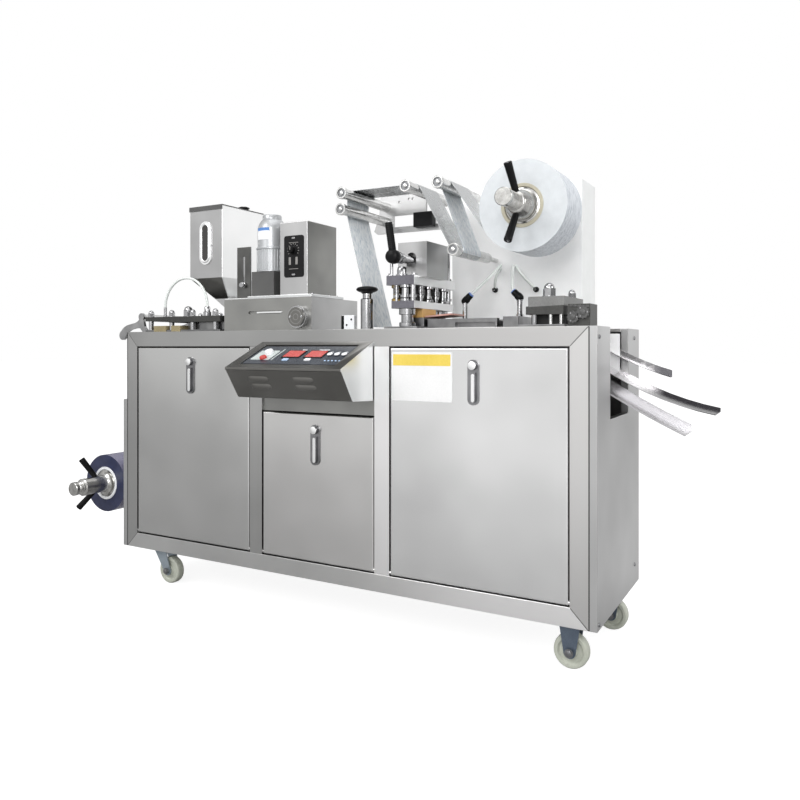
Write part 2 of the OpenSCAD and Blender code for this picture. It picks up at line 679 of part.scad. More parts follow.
// Film guide at the left end: two S-shaped arms on a foot, with a roller at each end
arm_t = 8;
arm_y = [film_y - 100, film_y + 100];
arm_hi = [x_left + 10, z_table + 46];
arm_lo = [x_left - 70, z_table - 8];
arm_end_r = [11, 14];
arm_pts = [
    [x_left + 7, z_table + 55], [x_left, z_table + 37], [x_left - 7, z_table + 32], [x_left - 16, z_table + 28.5],
    [x_left - 39, z_table + 24.5], [x_left - 52, z_table + 21.5], [x_left - 63, z_table + 16.5],
    [x_left - 72, z_table + 9], [x_left - 78, z_table + 3], [x_left - 84, z_table - 10],
    [x_left - 56, z_table - 12], [x_left - 51, z_table - 3], [x_left - 45, z_table + 2.5],
    [x_left - 38, z_table + 6.5], [x_left - 30, z_table + 9.5], [x_left - 10, z_table + 13], [x_left + 6, z_table + 12],
    [x_frame_0, z_table], [forming_x[0] - 4, z_table], [forming_x[0] - 4, z_table + 6],
    [x_left + 24, z_table + 18], [x_left + 19, z_table + 37]
];
module film_guide_arms() color(steel)
    for (y = arm_y) {
        xz_plate(arm_pts, y - arm_t / 2, y + arm_t / 2);
        y_bar(arm_hi[0], arm_hi[1], arm_end_r[0], y - arm_t / 2, y + arm_t / 2);
        y_bar(arm_lo[0], arm_lo[1], arm_end_r[1], y - arm_t / 2, y + arm_t / 2);
    }

// Guide rollers: places in X and Z, front end, back end
roller_back = film_y + 112;
y_upright = y_front + upright_face;
rollers = [
    [x_left + 731, z_table + 341, film_y - 115, roller_back],
    [x_left + 728, z_table + 301, film_y - 115, roller_back],
    [x_left + 912, z_table + 340, film_y - 115, y_upright],
    [x_left + 998, z_table + 340, film_y - 115, y_upright],
    [roller5_x, roller5_z, film_y - 95, y_upright]
];
module guide_rollers() color(bright) {
    for (r = rollers) difference() {
        union() {
            y_bar(r[0], r[1], roller_r, r[2], r[3]);
            y_bar(r[0], r[1], roller_r + 2, r[2], r[2] + 9);
        }
        difference() {
            y_bar(r[0], r[1], roller_r - 4, r[2] - 1, r[2] + 5);
            y_bar(r[0], r[1], roller_r - 8, r[2] - 2, r[2] + 6);
        }
    }
    for (end = [arm_lo, arm_hi])
        y_bar(end[0], end[1], 8, arm_y[0] + arm_t / 2, arm_y[1] - arm_t / 2);
}

// Plate that carries two of the rollers, held off the upright by a distance piece
roller_plate_y = [roller_back, roller_back + 8];
upright_x = [x_left + upright_at, x_left + upright_at + upright_l];
plate_hole_r = 4;
module roller_plate() color(steel) difference() {
    union() {
        xz_plate([[x_left + 700, z_table + 269], [upright_x[0] + 26, z_table + 269],
                  [upright_x[0] + 26, z_table + 285], [x_left + 880, z_table + 285],
                  [x_left + 880, z_table + 316], [x_left + 852, z_table + 316],
                  [x_left + 852, z_table + 374], [x_left + 712, z_table + 374],
                  [x_left + 706, z_table + 320], [x_left + 690, z_table + 277]],
                 roller_plate_y[0], roller_plate_y[1]);
        slab(upright_x[0] + 2, upright_x[0] + 26, roller_plate_y[1], y_upright,
             z_table + 269, z_table + 285);
        slab(x_left + 824, x_left + 880, roller_plate_y[0] - 20, roller_plate_y[0],
             z_table + 277, z_table + 316);
    }
    slab(x_left + 752, x_left + 823, roller_plate_y[0] - 1, roller_plate_y[1] + 1, z_table + 285, z_table + 316);
    for (hole = [[770, 352], [800, 358], [812, 358]])
        y_bar(x_left + hole[0], z_table + hole[1], plate_hole_r, roller_plate_y[0] - 1, roller_plate_y[1] + 1);
}

module upright_box() color("white")
    slab(upright_x[0], upright_x[1], y_upright, y_back + upright_out,
         z_table, z_table + upright_h);

// Foil web: runs from the foil reel over the rollers and down into the sealing station
foil_x = x_left + foil_axis_at;
foil_z = z_table + foil_axis_h;
foil_y = [film_y - 70, film_y - 70 + foil_roll_w];
web_t = 1;
web_gap = 0.3;
wrap_r = roller_r + web_gap + web_t / 2;
// Point of a circle about c at an angle from +X towards +Z
function on_circle(c, r, a) = [c[0] + r * cos(a), c[1] + r * sin(a)];
// Arc of points about a roller
function wrap(c, r, a0, a1, n = 8) = [for (i = [0:n]) on_circle(c, r, a0 + (a1 - a0) * i / n)];
// Angle from +X of the line from p to q
function bearing(p, q) = atan2(q[1] - p[1], q[0] - p[0]);
function span(p, q) = norm([q[0] - p[0], q[1] - p[1]]);
// Direction of the tangent point, seen from p, for circles p and q that turn opposite ways
function cross_tangent(p, q, rp, rq) = acos((rp + rq) / span(p, q));
foil_c = [foil_x, foil_z];
web_foil_r = foil_r + web_gap + web_t / 2;
a_reel = bearing(rollers[3], foil_c) + cross_tangent(rollers[3], foil_c, wrap_r, web_foil_r);
a_45 = bearing(rollers[3], rollers[4]) - cross_tangent(rollers[3], rollers[4], wrap_r, wrap_r);
a_53 = bearing(rollers[4], rollers[2]) + cross_tangent(rollers[4], rollers[2], wrap_r, wrap_r);
web_foot = [x_left + 789, z_bed + web_t];
a_foot = bearing(rollers[1], web_foot) - acos(wrap_r / span(rollers[1], web_foot));
web_path = concat(
    [on_circle(foil_c, web_foil_r, a_reel + 180)],
    wrap(rollers[3], wrap_r, a_reel, a_45 + 360),
    wrap(rollers[4], wrap_r, a_45 + 180, a_53 - 360 + 0),
    wrap(rollers[2], wrap_r, a_53 + 180 - 360, 90),
    wrap(rollers[0], wrap_r, 90, 180),
    wrap(rollers[1], wrap_r, 180, a_foot + 360),
    [web_foot]
);
// Thick line along a path: points moved off to one side by the mean of the near directions
function dir2(p, q) = [q[0] - p[0], q[1] - p[1]] / span(p, q);
function side_point(path, i, d) =
    let (n = len(path) - 1,
         u = i == 0 ? dir2(path[0], path[1]) : dir2(path[i - 1], path[i]),
         v = i == n ? u : dir2(path[i], path[i + 1]),
         m = (u + v) / norm(u + v))
    [path[i][0] - m[1] * d, path[i][1] + m[0] * d];
function ribbon(path, t) = concat(
    [for (i = [0:len(path) - 1]) side_point(path, i, t / 2)],
    [for (i = [len(path) - 1:-1:0]) side_point(path, i, -t / 2)]);
web_y = [foil_y[0] + (foil_roll_w - foil_w) / 2, foil_y[1] - (foil_roll_w - foil_w) / 2];
module foil_web() color("lightsteelblue") xz_plate(ribbon(web_path, web_t), web_y[0], web_y[1]);

// Reels: a roll on a threaded spindle, clamped by a nut with two bar handles
nut_len = 40;
hub_r = 30;
nose_out = 117;
handle_r = [7.5, 9.5];
handle_l = 70;
handle_lean = 25;
module reel_spindle(c, roll_y, y_end) {
    y_bar(c[0], c[1], spindle_r, roll_y[0] - nose_out, y_end);
    y_bar(c[0], c[1], hub_r, roll_y[0] - nut_len, roll_y[0] - seat);
    y_bar(c[0], c[1], core_r - 8 - seat, roll_y[0] + 20, roll_y[1] - 20);
}
module reel_roll(c, roll_y, r) difference() {
    y_bar(c[0], c[1], r, roll_y[0], roll_y[1]);
    y_bar(c[0], c[1], core_r - 8, roll_y[0] - 1, roll_y[1] + 1);
}
// Places its children on the clamp nut, with Z along a handle that leans towards the operator
module on_handle(c, roll_y, a)
    translate([c[0], roll_y[0] - nut_len * 0.45, c[1]]) rotate([0, 90 - a, 0]) rotate([handle_lean, 0, 0])
        translate([0, 0, hub_r - 4]) children();
module reel_handles(c, roll_y, angles)
    for (a = angles) on_handle(c, roll_y, a) cylinder(h = handle_l, r1 = handle_r[0], r2 = handle_r[1]);
// Sockets for the handles in the clamp nut
module reel_sockets(c, roll_y, angles)
    for (a = angles) on_handle(c, roll_y, a)
        cylinder(h = handle_l, r1 = handle_r[0] + run_fit, r2 = handle_r[1] + run_fit);

film_c = [x_left - film_axis_out, film_axis_z];
film_roll_y = [film_y - 100, film_y - 100 + film_roll_w];
film_angles = [115, 235];
bracket_y = [film_roll_y[1] + 12, film_roll_y[1] + 32];
bearing_r = 30;
bush_fit = 0.05;
module film_bracket() color(dark) difference() {
    union() {
        slab(film_c[0], x_left, bracket_y[0], bracket_y[1], film_c[1] - 24, film_c[1] + 24);
        y_bar(film_c[0], film_c[1], bearing_r, bracket_y[0], bracket_y[1]);
        slab(x_left - 6, x_left, bracket_y[0] - 25, bracket_y[1] + 25, film_c[1] - 45, film_c[1] + 45);
    }
    y_bar(film_c[0], film_c[1], spindle_r + bush_fit, bracket_y[0] - 1, bracket_y[1] + 1);
}
module film_spindle() color(bright) difference() {
    reel_spindle(film_c, film_roll_y, bracket_y[1] + 6);
    reel_sockets(film_c, film_roll_y, film_angles);
}
module film_roll() color("midnightblue") reel_roll(film_c, film_roll_y, film_r);
module film_handles() color(black) reel_handles(film_c, film_roll_y, film_angles);

foil_angles = [98, 262];
module foil_spindle() color(bright) difference() {
    reel_spindle(foil_c, foil_y, y_upright - seat);
    reel_sockets(foil_c, foil_y, foil_angles);
}
module foil_roll() color("whitesmoke") reel_roll(foil_c, foil_y, foil_r);
module foil_handles() color(black) reel_handles(foil_c, foil_y, foil_angles);

// Clear hoses: an arch over the forming station and four short air lines
hose_r = 3.5;
arch_r = forming_l * 0.283;
arch_x = forming_x[0] + forming_l * 0.512;
arch_y = film_y - 98;
z_arch = z_heater + heater_t + 28;
fitting_r = 8;
fitting_l = 24;
fitting_tilt = 46;
stem_r = 5;
stem_1 = [x_left + 1008, film_y + 20, z_table + 70];
stem_2 = [x_left + 1150, film_y + 20, z_table + 74];
// Far end of a tilted fitting that stands on a stem
function fitting_end(stem, side) =
    stem + fitting_l * [side * sin(fitting_tilt), 0, cos(fitting_tilt)];
fit_1 = fitting_end(stem_1, 1);
fit_2 = fitting_end(stem_2, -1);
// Control points of a short air line between two places: bow towards the operator and sag
function air_line(p, q, bow, sag) = [p, p + (q - p) / 3 - [0, bow, sag], p + (q - p) * 2 / 3 - [0, bow, sag], q];
air_lines = [
    air_line([x_left + 1041, y_upright, z_table + 171], fit_1, 8, 6),
    air_line([x_left + 1040, y_upright, z_table + 161], [x_left + 1026, y_upright, z_table + 107], 24, 0),
    air_line([x_left + 1076, y_upright, z_table + 168], fit_2, 8, 4),
    air_line([x_left + 1083, y_upright, z_table + 167], [x_left + 1138, y_upright, z_table + 104], 24, 0)
];
hose_sides = 8;
hose_rings = 12;
// Cubic curve through four control points
function curve(c, t) = pow(1 - t, 3) * c[0] + 3 * t * pow(1 - t, 2) * c[1]
    + 3 * t * t * (1 - t) * c[2] + pow(t, 3) * c[3];
function unit(v) = v / norm(v);
function curve_dir(c, t) = unit(curve(c, min(1, t + 0.01)) - curve(c, max(0, t - 0.01)));
module hose(c, r) {
    rings = [for (i = [0:hose_rings]) let (
        t = i / hose_rings, p = curve(c, t), d = curve_dir(c, t),
        a = unit(cross(d, [1, 0, 0.2])), b = cross(d, a))
        for (k = [0:hose_sides - 1]) let (w = 360 * k / hose_sides) p + r * (cos(w) * a + sin(w) * b)];
    n = hose_sides;
    sides = [for (i = [0:hose_rings - 1]) for (k = [0:n - 1])
        [i * n + k, (i + 1) * n + k, (i + 1) * n + (k + 1) % n, i * n + (k + 1) % n]];
    polyhedron(rings, concat(sides, [[for (k = [0:n - 1]) k]],
                             [[for (k = [n - 1:-1:0]) hose_rings * n + k]]));
}
module air_hoses() color("white") {
    translate([arch_x, arch_y, z_arch]) rotate([90, 0, 0]) rotate_extrude(angle = 180)
        translate([arch_r, 0]) circle(hose_r);
    for (line = air_lines) hose(line, hose_r * 0.85);
}
module air_fittings() color(black) {
    for (x = [arch_x - arch_r, arch_x + arch_r])
        z_bar(x, arch_y, fitting_r, z_heater + heater_t, z_arch);
    for (f = [[stem_1, 1, track_h], [stem_2, -1, pad_h]]) {
        base = f[2] == track_h ? track_h - 5 : f[2];
        z_bar(f[0][0], f[0][1], stem_r, z_table + base, f[0][2]);
        translate(f[0]) sphere(fitting_r);
        translate(f[0]) rotate([0, f[1] * fitting_tilt, 0]) cylinder(h = fitting_l, r = fitting_r);
    }
}

// Chutes: two bent trays that leave through the cut-out
chute_end_x = x_right + chute_reach;
tray_t = 1.5;
tray_flange = 16;
tray_y = [cutout_y[0], cutout_y[1]];
function tray_line(x0, z0, x1, z1, sag, n = 8) =
    [for (i = [0:n]) let (t = i / n) [x0 + (x1 - x0) * t, z0 + (z1 - z0) * t - sag * 4 * t * (1 - t)]];
function band(line, h) = concat(line, [for (i = [len(line) - 1:-1:0]) line[i] + [0, h]]);
upper_line = tray_line(x_frame_1 - 60, z_table - 66, chute_end_x, z_table - 187, 18);
lower_line = tray_line(x_frame_1 - 30, z_table - 118, x_right + 150, z_table - 226, 4);
strip_line = tray_line(x_frame_1 - 40, z_table - 44, x_right + 98, z_table - 112, 6);
upper_y = [film_y + 22, tray_y[1]];
module discharge_chutes() color(bright) {
    // Main tray: a bent floor with a low wall along its far side
    xz_plate(band(upper_line, tray_t), upper_y[0], upper_y[1]);
    xz_plate(band(upper_line, 9), upper_y[1] - tray_t, upper_y[1]);
    // Short guide strip above its far side
    xz_plate(band(strip_line, tray_flange), tray_y[1] - tray_t, tray_y[1]);
    xz_plate(band(strip_line, tray_t), tray_y[1] - 22, tray_y[1]);
    // Waste channel below
    xz_plate(band(lower_line, tray_t), tray_y[0], tray_y[0] + 96);
    xz_plate(band(lower_line, tray_flange), tray_y[0] + 96 - tray_t, tray_y[0] + 96);
    xz_plate(band(lower_line, 4), tray_y[0], tray_y[0] + tray_t);
}

// Castors: rigid pair at the right end, swivel pair at the left end
castor_in_right = 66;
castor_in_left = 118;
castor_y = [y_front + 48, y_back - 48];
rigid_x = x_right - castor_in_right;
// The back castor at the right end is set in from the back
back_right_in = 90;
rigid_xy = [[rigid_x, castor_y[0]], [rigid_x + 22, y_back - back_right_in]];
swivel_x = x_left + castor_in_left;
fork_in = wheel_w / 2 + 3;
fork_t = 3;
castor_plate_t = 4;
swivel_plate_t = 4;
axle_r = 5;
z_axle = wheel_r;
fork_w = 44;
// Two tapering cheeks under a crown, with holes for the axle
module fork_cheeks(x, z_crown, lean) {
    for (side = [-1, 1]) difference() {
        union() {
            xz_plate([[x - fork_w / 2, z_crown], [x + fork_w / 2, z_crown],
                      [x + lean + 13, z_axle], [x + lean - 13, z_axle]],
                     side * fork_in - (side < 0 ? fork_t : 0), side * fork_in + (side < 0 ? 0 : fork_t));
            y_bar(x + lean, z_axle, 13,
                  side * fork_in - (side < 0 ? fork_t : 0), side * fork_in + (side < 0 ? 0 : fork_t));
        }
        y_bar(x + lean, z_axle, axle_r + run_fit, side * fork_in - 5, side * fork_in + 5);
    }
    slab(x - fork_w / 2, x + fork_w / 2, -fork_in - fork_t, fork_in + fork_t, z_crown, z_crown + fork_t);
}
// Wheel: half of its outline as radius and half width, from the hub to the tread
wheel_half = [[0, wheel_w / 2], [13, wheel_w / 2], [15, wheel_w / 2 - 4], [wheel_r - 13, wheel_w / 2 - 5],
              [wheel_r - 9, wheel_w / 2 - 1], [wheel_r - 3.5, wheel_w / 2 - 1], [wheel_r - 1, wheel_w / 2 - 3],
              [wheel_r, wheel_w / 2 - 7]];
wheel_outline = concat(wheel_half, [for (i = [len(wheel_half) - 1:-1:0]) [wheel_half[i][0], -wheel_half[i][1]]]);
module castor_wheel(x) {
    translate([x, 0, z_axle]) rotate([90, 0, 0]) rotate_extrude() polygon(wheel_outline);
    y_bar(x, z_axle, axle_r, -fork_in - fork_t - 5, fork_in + fork_t + 5);
}
module rigid_castor_forks() color("slategray")
    for (p = rigid_xy) translate([p[0], p[1], 0]) {
        fork_cheeks(0, z_foot - castor_plate_t - fork_t, 0);
        slab(-38, 38, -32, 32, z_foot - castor_plate_t, z_foot);
    }
z_swivel = z_foot - seat - swivel_plate_t;
// Swivel fork: cheeks that lean back from a round crown turning under the base
module swivel_fork() {
    fork_cheeks(swivel_x, z_swivel - fork_t, castor_trail);
    z_bar(swivel_x, 0, 26, z_swivel, z_swivel + swivel_plate_t);
}
module fork_front_left() color("slategray") translate([0, castor_y[0], 0]) swivel_fork();
module fork_back_left() color("slategray") translate([0, castor_y[1], 0]) swivel_fork();
module wheel_front_right() color(cream) translate([0, rigid_xy[0][1], 0]) castor_wheel(rigid_xy[0][0]);
module wheel_back_right() color(cream) translate([0, rigid_xy[1][1], 0]) castor_wheel(rigid_xy[1][0]);
module wheel_front_left() color(cream) translate([0, castor_y[0], 0]) castor_wheel(swivel_x + castor_trail);
module wheel_back_left() color(cream) translate([0, castor_y[1], 0]) castor_wheel(swivel_x + castor_trail);

front_rails();
front_stiles();
console_backing();
table_top();
base_pan();
back_panel();
left_end_panel();
left_end_cover();
right_end_cover();
left_door();
middle_door();
right_door();
left_lock();
middle_lock();
right_lock();
console_housing();
keypad();
feeder_base();
feeder_lid();
hopper();
hopper_lid();
hopper_window();
gate_plate();
feeder_motor();
motor_gearbox();
speed_control_box();
station_beds();
insulation_blocks();
heater_plate();
guide_posts();
sealing_plates();
sealing_block();
cam_shaft();
cam_grip();
punch_plates();
drive_chain();
film_guide_arms();
guide_rollers();
roller_plate();
film_bracket();
film_spindle();
film_roll();
film_handles();
clamp_knob();
foil_web();
upright_box();
foil_spindle();
foil_roll();
foil_handles();
air_hoses();
air_fittings();
discharge_chutes();
rigid_castor_forks();
wheel_front_right();
wheel_back_right();
fork_front_left();
wheel_front_left();
fork_back_left();
wheel_back_left();
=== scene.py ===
"""Looks of a flat-plate blister packing machine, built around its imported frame.

All sizes are in millimetres until they reach a mesh, X along the film, Y away from the operator, Z up.
"""
import math

import bmesh
import bpy
from mathutils import Matrix, Vector


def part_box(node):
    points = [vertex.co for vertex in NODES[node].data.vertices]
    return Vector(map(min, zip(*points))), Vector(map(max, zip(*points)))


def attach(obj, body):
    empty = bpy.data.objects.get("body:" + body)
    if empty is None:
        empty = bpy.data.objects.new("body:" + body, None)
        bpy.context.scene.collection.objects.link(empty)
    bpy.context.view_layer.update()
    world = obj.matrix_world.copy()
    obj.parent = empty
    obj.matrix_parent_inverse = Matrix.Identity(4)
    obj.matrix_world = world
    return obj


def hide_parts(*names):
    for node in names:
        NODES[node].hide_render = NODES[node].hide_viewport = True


MM = 0.001

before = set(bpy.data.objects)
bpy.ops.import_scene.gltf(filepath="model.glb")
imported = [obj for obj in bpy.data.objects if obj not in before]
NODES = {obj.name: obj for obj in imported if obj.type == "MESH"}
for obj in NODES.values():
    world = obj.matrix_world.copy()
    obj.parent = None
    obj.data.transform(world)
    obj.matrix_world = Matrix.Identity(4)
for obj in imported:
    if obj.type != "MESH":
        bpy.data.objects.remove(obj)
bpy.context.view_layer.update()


def limits(name):
    """Lowest and highest corner of a CAD node at rest, in millimetres."""
    low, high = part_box(name)
    return Vector(low) / MM, Vector(high) / MM


# Camera: a level view from the front right, with the frame shifted down a little
CAMERA_AT = Vector((1094.8, -1664.9, 677.2))
CAMERA_YAW = 29.225
FOCAL_PIXELS = 745.735
PICTURE_PIXELS = 800
OPTICAL_CENTRE_Y = 346.8
SENSOR = 36.0


def place_camera():
    data = bpy.data.cameras.new("camera")
    data.sensor_width = SENSOR
    data.lens = SENSOR * FOCAL_PIXELS / PICTURE_PIXELS
    data.shift_y = (OPTICAL_CENTRE_Y - PICTURE_PIXELS / 2) / PICTURE_PIXELS
    data.clip_end = 100
    camera = bpy.data.objects.new("camera", data)
    camera.location = CAMERA_AT * MM
    camera.rotation_euler = (math.radians(90), 0, math.radians(CAMERA_YAW))
    bpy.context.scene.collection.objects.link(camera)
    bpy.context.scene.camera = camera


# Mesh tools: each adds one form, in millimetres, to a bmesh
FRONT = (Vector((1, 0, 0)), Vector((0, 0, 1)))
RIGHT = (Vector((0, 1, 0)), Vector((0, 0, 1)))
LEFT = (Vector((0, -1, 0)), Vector((0, 0, 1)))
BACK = (Vector((-1, 0, 0)), Vector((0, 0, 1)))
TOP = (Vector((1, 0, 0)), Vector((0, 1, 0)))


def on_face(at, face):
    """Matrix of a place on a face: X across it, Y up it and Z out of it."""
    across, up = face
    out = across.cross(up)
    turn = Matrix((across, up, out)).transposed().to_4x4()
    return Matrix.Translation(Vector(at)) @ turn


def round_point(radius, angle, height=0.0):
    """Point on a circle about the Z axis."""
    return Vector((radius * math.cos(angle), radius * math.sin(angle), height))


def bridge(form, rings):
    """Faces between closed rings of equal length, from one to the next."""
    for low, high in zip(rings, rings[1:]):
        for i in range(len(low)):
            j = (i + 1) % len(low)
            form.faces.new((low[i], low[j], high[j], high[i]))


def close_ends(form, rings):
    """One face over the first ring and one over the last."""
    form.faces.new(rings[0][::-1])
    form.faces.new(rings[-1])


def lathe(form, profile, place, segments=32):
    """Turned form: points of radius and height above the place; a radius of 0 closes an end."""
    angles = [math.tau * i / segments for i in range(segments)]
    rings = []
    for radius, height in profile:
        if radius == 0:
            rings.append([form.verts.new(place @ Vector((0, 0, height)))])
        else:
            rings.append([form.verts.new(place @ round_point(radius, a, height)) for a in angles])
    for low, high in zip(rings, rings[1:]):
        for i in range(segments):
            j = (i + 1) % segments
            corners = [low[i % len(low)], low[j % len(low)], high[j % len(high)], high[i % len(high)]]
            form.faces.new(list(dict.fromkeys(corners)))


def rounded_outline(width, height, radius, steps=6):
    """Points of a rounded rectangle about the origin, anticlockwise."""
    points = []
    for turn, (sx, sy) in enumerate(((1, 1), (-1, 1), (-1, -1), (1, -1))):
        centre = Vector((sx * (width / 2 - radius), sy * (height / 2 - radius)))
        for i in range(steps + 1):
            angle = math.pi / 2 * (turn + i / steps)
            points.append(centre + radius * Vector((math.cos(angle), math.sin(angle))))
    return points


def stack(form, layers, place):
    """Closed form through outlines of equal length, each at its own height; the first and last are capped."""
    rings = []
    for outline, height in layers:
        rings.append([form.verts.new(place @ Vector((p.x, p.y, height))) for p in outline])
    bridge(form, rings)
    close_ends(form, rings)


def plate(form, width, height, thick, place, radius=2.0, edge=0.5):
    """Flat plate with rounded corners and a broken edge, standing on its place."""
    outline = rounded_outline(width, height, radius)
    inner = rounded_outline(width - 2 * edge, height - 2 * edge, max(radius - edge, 0.05))
    stack(form, [(outline, 0), (outline, thick - edge), (inner, thick)], place)


def bead(form, width, height, radius, section, place):
    """Raised half-round bead along a rounded rectangle."""
    rings = []
    for i in range(7):
        angle = math.pi * i / 6
        grow = section * math.cos(angle)
        outline = rounded_outline(width + 2 * grow, height + 2 * grow, radius + grow, 8)
        rings.append([form.verts.new(place @ Vector((p.x, p.y, section * math.sin(angle)))) for p in outline])
    bridge(form, rings + rings[:1])


def tube(form, points, radius, segments=8):
    """Round wire along points, closed at both ends."""
    angles = [math.tau * k / segments for k in range(segments)]
    rings = []
    for i, point in enumerate(points):
        ahead = points[min(i + 1, len(points) - 1)] - points[max(i - 1, 0)]
        turn = ahead.to_track_quat("Z", "X").to_matrix()
        rings.append([form.verts.new(point + turn @ round_point(radius, a)) for a in angles])
    bridge(form, rings)
    close_ends(form, rings)


def spring(form, place, radius, wire, height, turns):
    """Coil spring that stands on its place."""
    steps = int(turns * 14)
    points = []
    for i in range(steps + 1):
        angle = math.tau * turns * i / steps
        points.append(place @ round_point(radius, angle, height * i / steps))
    tube(form, points, wire, 6)


def piece(name, form, material, body):
    """Object from a bmesh in millimetres, shaded smooth but for its sharp edges, riding on a body."""
    bmesh.ops.recalc_face_normals(form, faces=form.faces[:])
    bmesh.ops.scale(form, vec=(MM, MM, MM), verts=form.verts[:])
    for face in form.faces:
        face.smooth = True
    for line in form.edges:
        line.smooth = len(line.link_faces) == 2 and line.calc_face_angle() < SHARP
    mesh = bpy.data.meshes.new(name)
    form.to_mesh(mesh)
    form.free()
    mesh.materials.append(material)
    made = bpy.data.objects.new(name, mesh)
    bpy.context.scene.collection.objects.link(made)
    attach(made, body)
    return made


def pan_head(form, place, radius, height):
    """Small domed screw head with a round dimple on top."""
    lathe(form, [(radius, 0), (radius, height * 0.4), (radius * 0.8, height * 0.85), (radius * 0.45, height),
                 (radius * 0.3, height * 0.7), (0, height * 0.6)], place, 16)


def hex_bolt(form, place, radius, height):
    """Hexagon head with a chamfered top, on a washer."""
    lathe(form, [(radius * 1.35, 0), (radius * 1.35, height * 0.2), (0, height * 0.2)], place, 20)
    lathe(form, [(radius, height * 0.2), (radius, height * 0.85), (radius * 0.82, height), (0, height)],
          place, 6)


# Materials
# Share of the grinding strokes in a sheet's colour
STROKE_SHARE = 0.03
# Angle from which an edge counts as sharp, and how squarely a face has to look in a direction to belong to it
SHARP = math.radians(38)
FACING = 0.75


def srgb(code):
    """Linear colour of an sRGB hex value."""
    parts = [int(code[i : i + 2], 16) / 255 for i in (1, 3, 5)]
    return tuple(c / 12.92 if c <= 0.04045 else ((c + 0.055) / 1.055) ** 2.4 for c in parts) + (1.0,)


def add(tree, kind, settings=None, values=None, links=None):
    """One shader node with its own settings, the values of its sockets and what feeds them."""
    made = tree.nodes.new(kind)
    for key, value in (settings or {}).items():
        setattr(made, key, value)
    for key, value in (values or {}).items():
        made.inputs[key].default_value = value
    for key, source in (links or {}).items():
        tree.links.new(source, made.inputs[key])
    return made


def start_material(name):
    """Empty material with a principled shader on its output; returns material, tree and shader."""
    material = bpy.data.materials.new(name)
    material.use_nodes = True
    tree = material.node_tree
    tree.nodes.clear()
    shader = add(tree, "ShaderNodeBsdfPrincipled")
    add(tree, "ShaderNodeOutputMaterial", links={"Surface": shader.outputs["BSDF"]})
    return material, tree, shader


def per_mm(size):
    """Noise scale whose features are about this many millimetres across."""
    return 1000.0 / size


def brushed_stainless(name, dark, light, stroke, roughness=0.3, patch=260.0, depth=0.006, outlet=None):
    """Stainless sheet, belt-ground: faint parallel strokes, and broad soft clouds, a painted reflection of a
    sheet that is not quite flat.

    stroke is the axis the grinding belt ran along. The real strokes are about 0.3 mm apart; they are drawn
    2.5 mm apart so that they show at this picture's size. outlet, when given, is a painted reflection: the
    lighter colour towards the outlet end of the machine, with the X where it begins and the X where it is
    full.
    """
    material, tree, shader = start_material(name)
    place = add(tree, "ShaderNodeTexCoord")
    across = per_mm(2.5)
    along = per_mm(160.0)
    scale = [across, across, across]
    scale["XYZ".index(stroke)] = along
    stretched = add(
        tree, "ShaderNodeMapping", values={"Scale": scale}, links={"Vector": place.outputs["Object"]}
    )
    strokes = add(
        tree, "ShaderNodeTexNoise", values={"Scale": 1.0, "Detail": 3.0, "Roughness": 0.6},
        links={"Vector": stretched.outputs["Vector"]},
    )
    clouds = add(
        tree, "ShaderNodeTexNoise", values={"Scale": per_mm(patch), "Detail": 2.0, "Roughness": 0.5},
        links={"Vector": place.outputs["Object"]},
    )
    blend = add(
        tree, "ShaderNodeMath", {"operation": "MULTIPLY"}, {1: STROKE_SHARE}, {0: strokes.outputs["Fac"]}
    )
    both = add(
        tree, "ShaderNodeMath", {"operation": "MULTIPLY_ADD"}, {1: 1 - STROKE_SHARE},
        {0: clouds.outputs["Fac"], 2: blend.outputs["Value"]},
    )
    ramp = add(tree, "ShaderNodeValToRGB", links={"Fac": both.outputs["Value"]})
    ramp.color_ramp.elements[0].position = 0.32
    ramp.color_ramp.elements[0].color = srgb(dark)
    ramp.color_ramp.elements[1].position = 0.68
    ramp.color_ramp.elements[1].color = srgb(light)
    gloss = add(
        tree, "ShaderNodeMapRange",
        values={"From Min": 0.25, "From Max": 0.75, "To Min": roughness - 0.008, "To Max": roughness + 0.012},
        links={"Value": strokes.outputs["Fac"]},
    )
    relief = add(
        tree, "ShaderNodeBump", values={"Strength": depth, "Distance": 0.2 * MM},
        links={"Height": strokes.outputs["Fac"]},
    )
    colour = ramp.outputs["Color"]
    # Painted reflection: the colour turns lighter along X towards the outlet end.
    if outlet:
        reflection_colour, reflection_from, reflection_to = outlet
        axes = add(tree, "ShaderNodeSeparateXYZ", links={"Vector": place.outputs["Object"]})
        reflection_ramp = add(
            tree, "ShaderNodeMapRange", {"interpolation_type": "SMOOTHSTEP"},
            {"From Min": reflection_from * MM, "From Max": reflection_to * MM}, {"Value": axes.outputs["X"]},
        )
        mixed = add(
            tree, "ShaderNodeMix", {"data_type": "RGBA"}, {7: srgb(reflection_colour)},
            {0: reflection_ramp.outputs["Result"], 6: colour},
        )
        colour = mixed.outputs[2]
    shader.inputs["Metallic"].default_value = 1.0
    tree.links.new(colour, shader.inputs["Base Color"])
    tree.links.new(gloss.outputs["Result"], shader.inputs["Roughness"])
    tree.links.new(relief.outputs["Normal"], shader.inputs["Normal"])
    return material


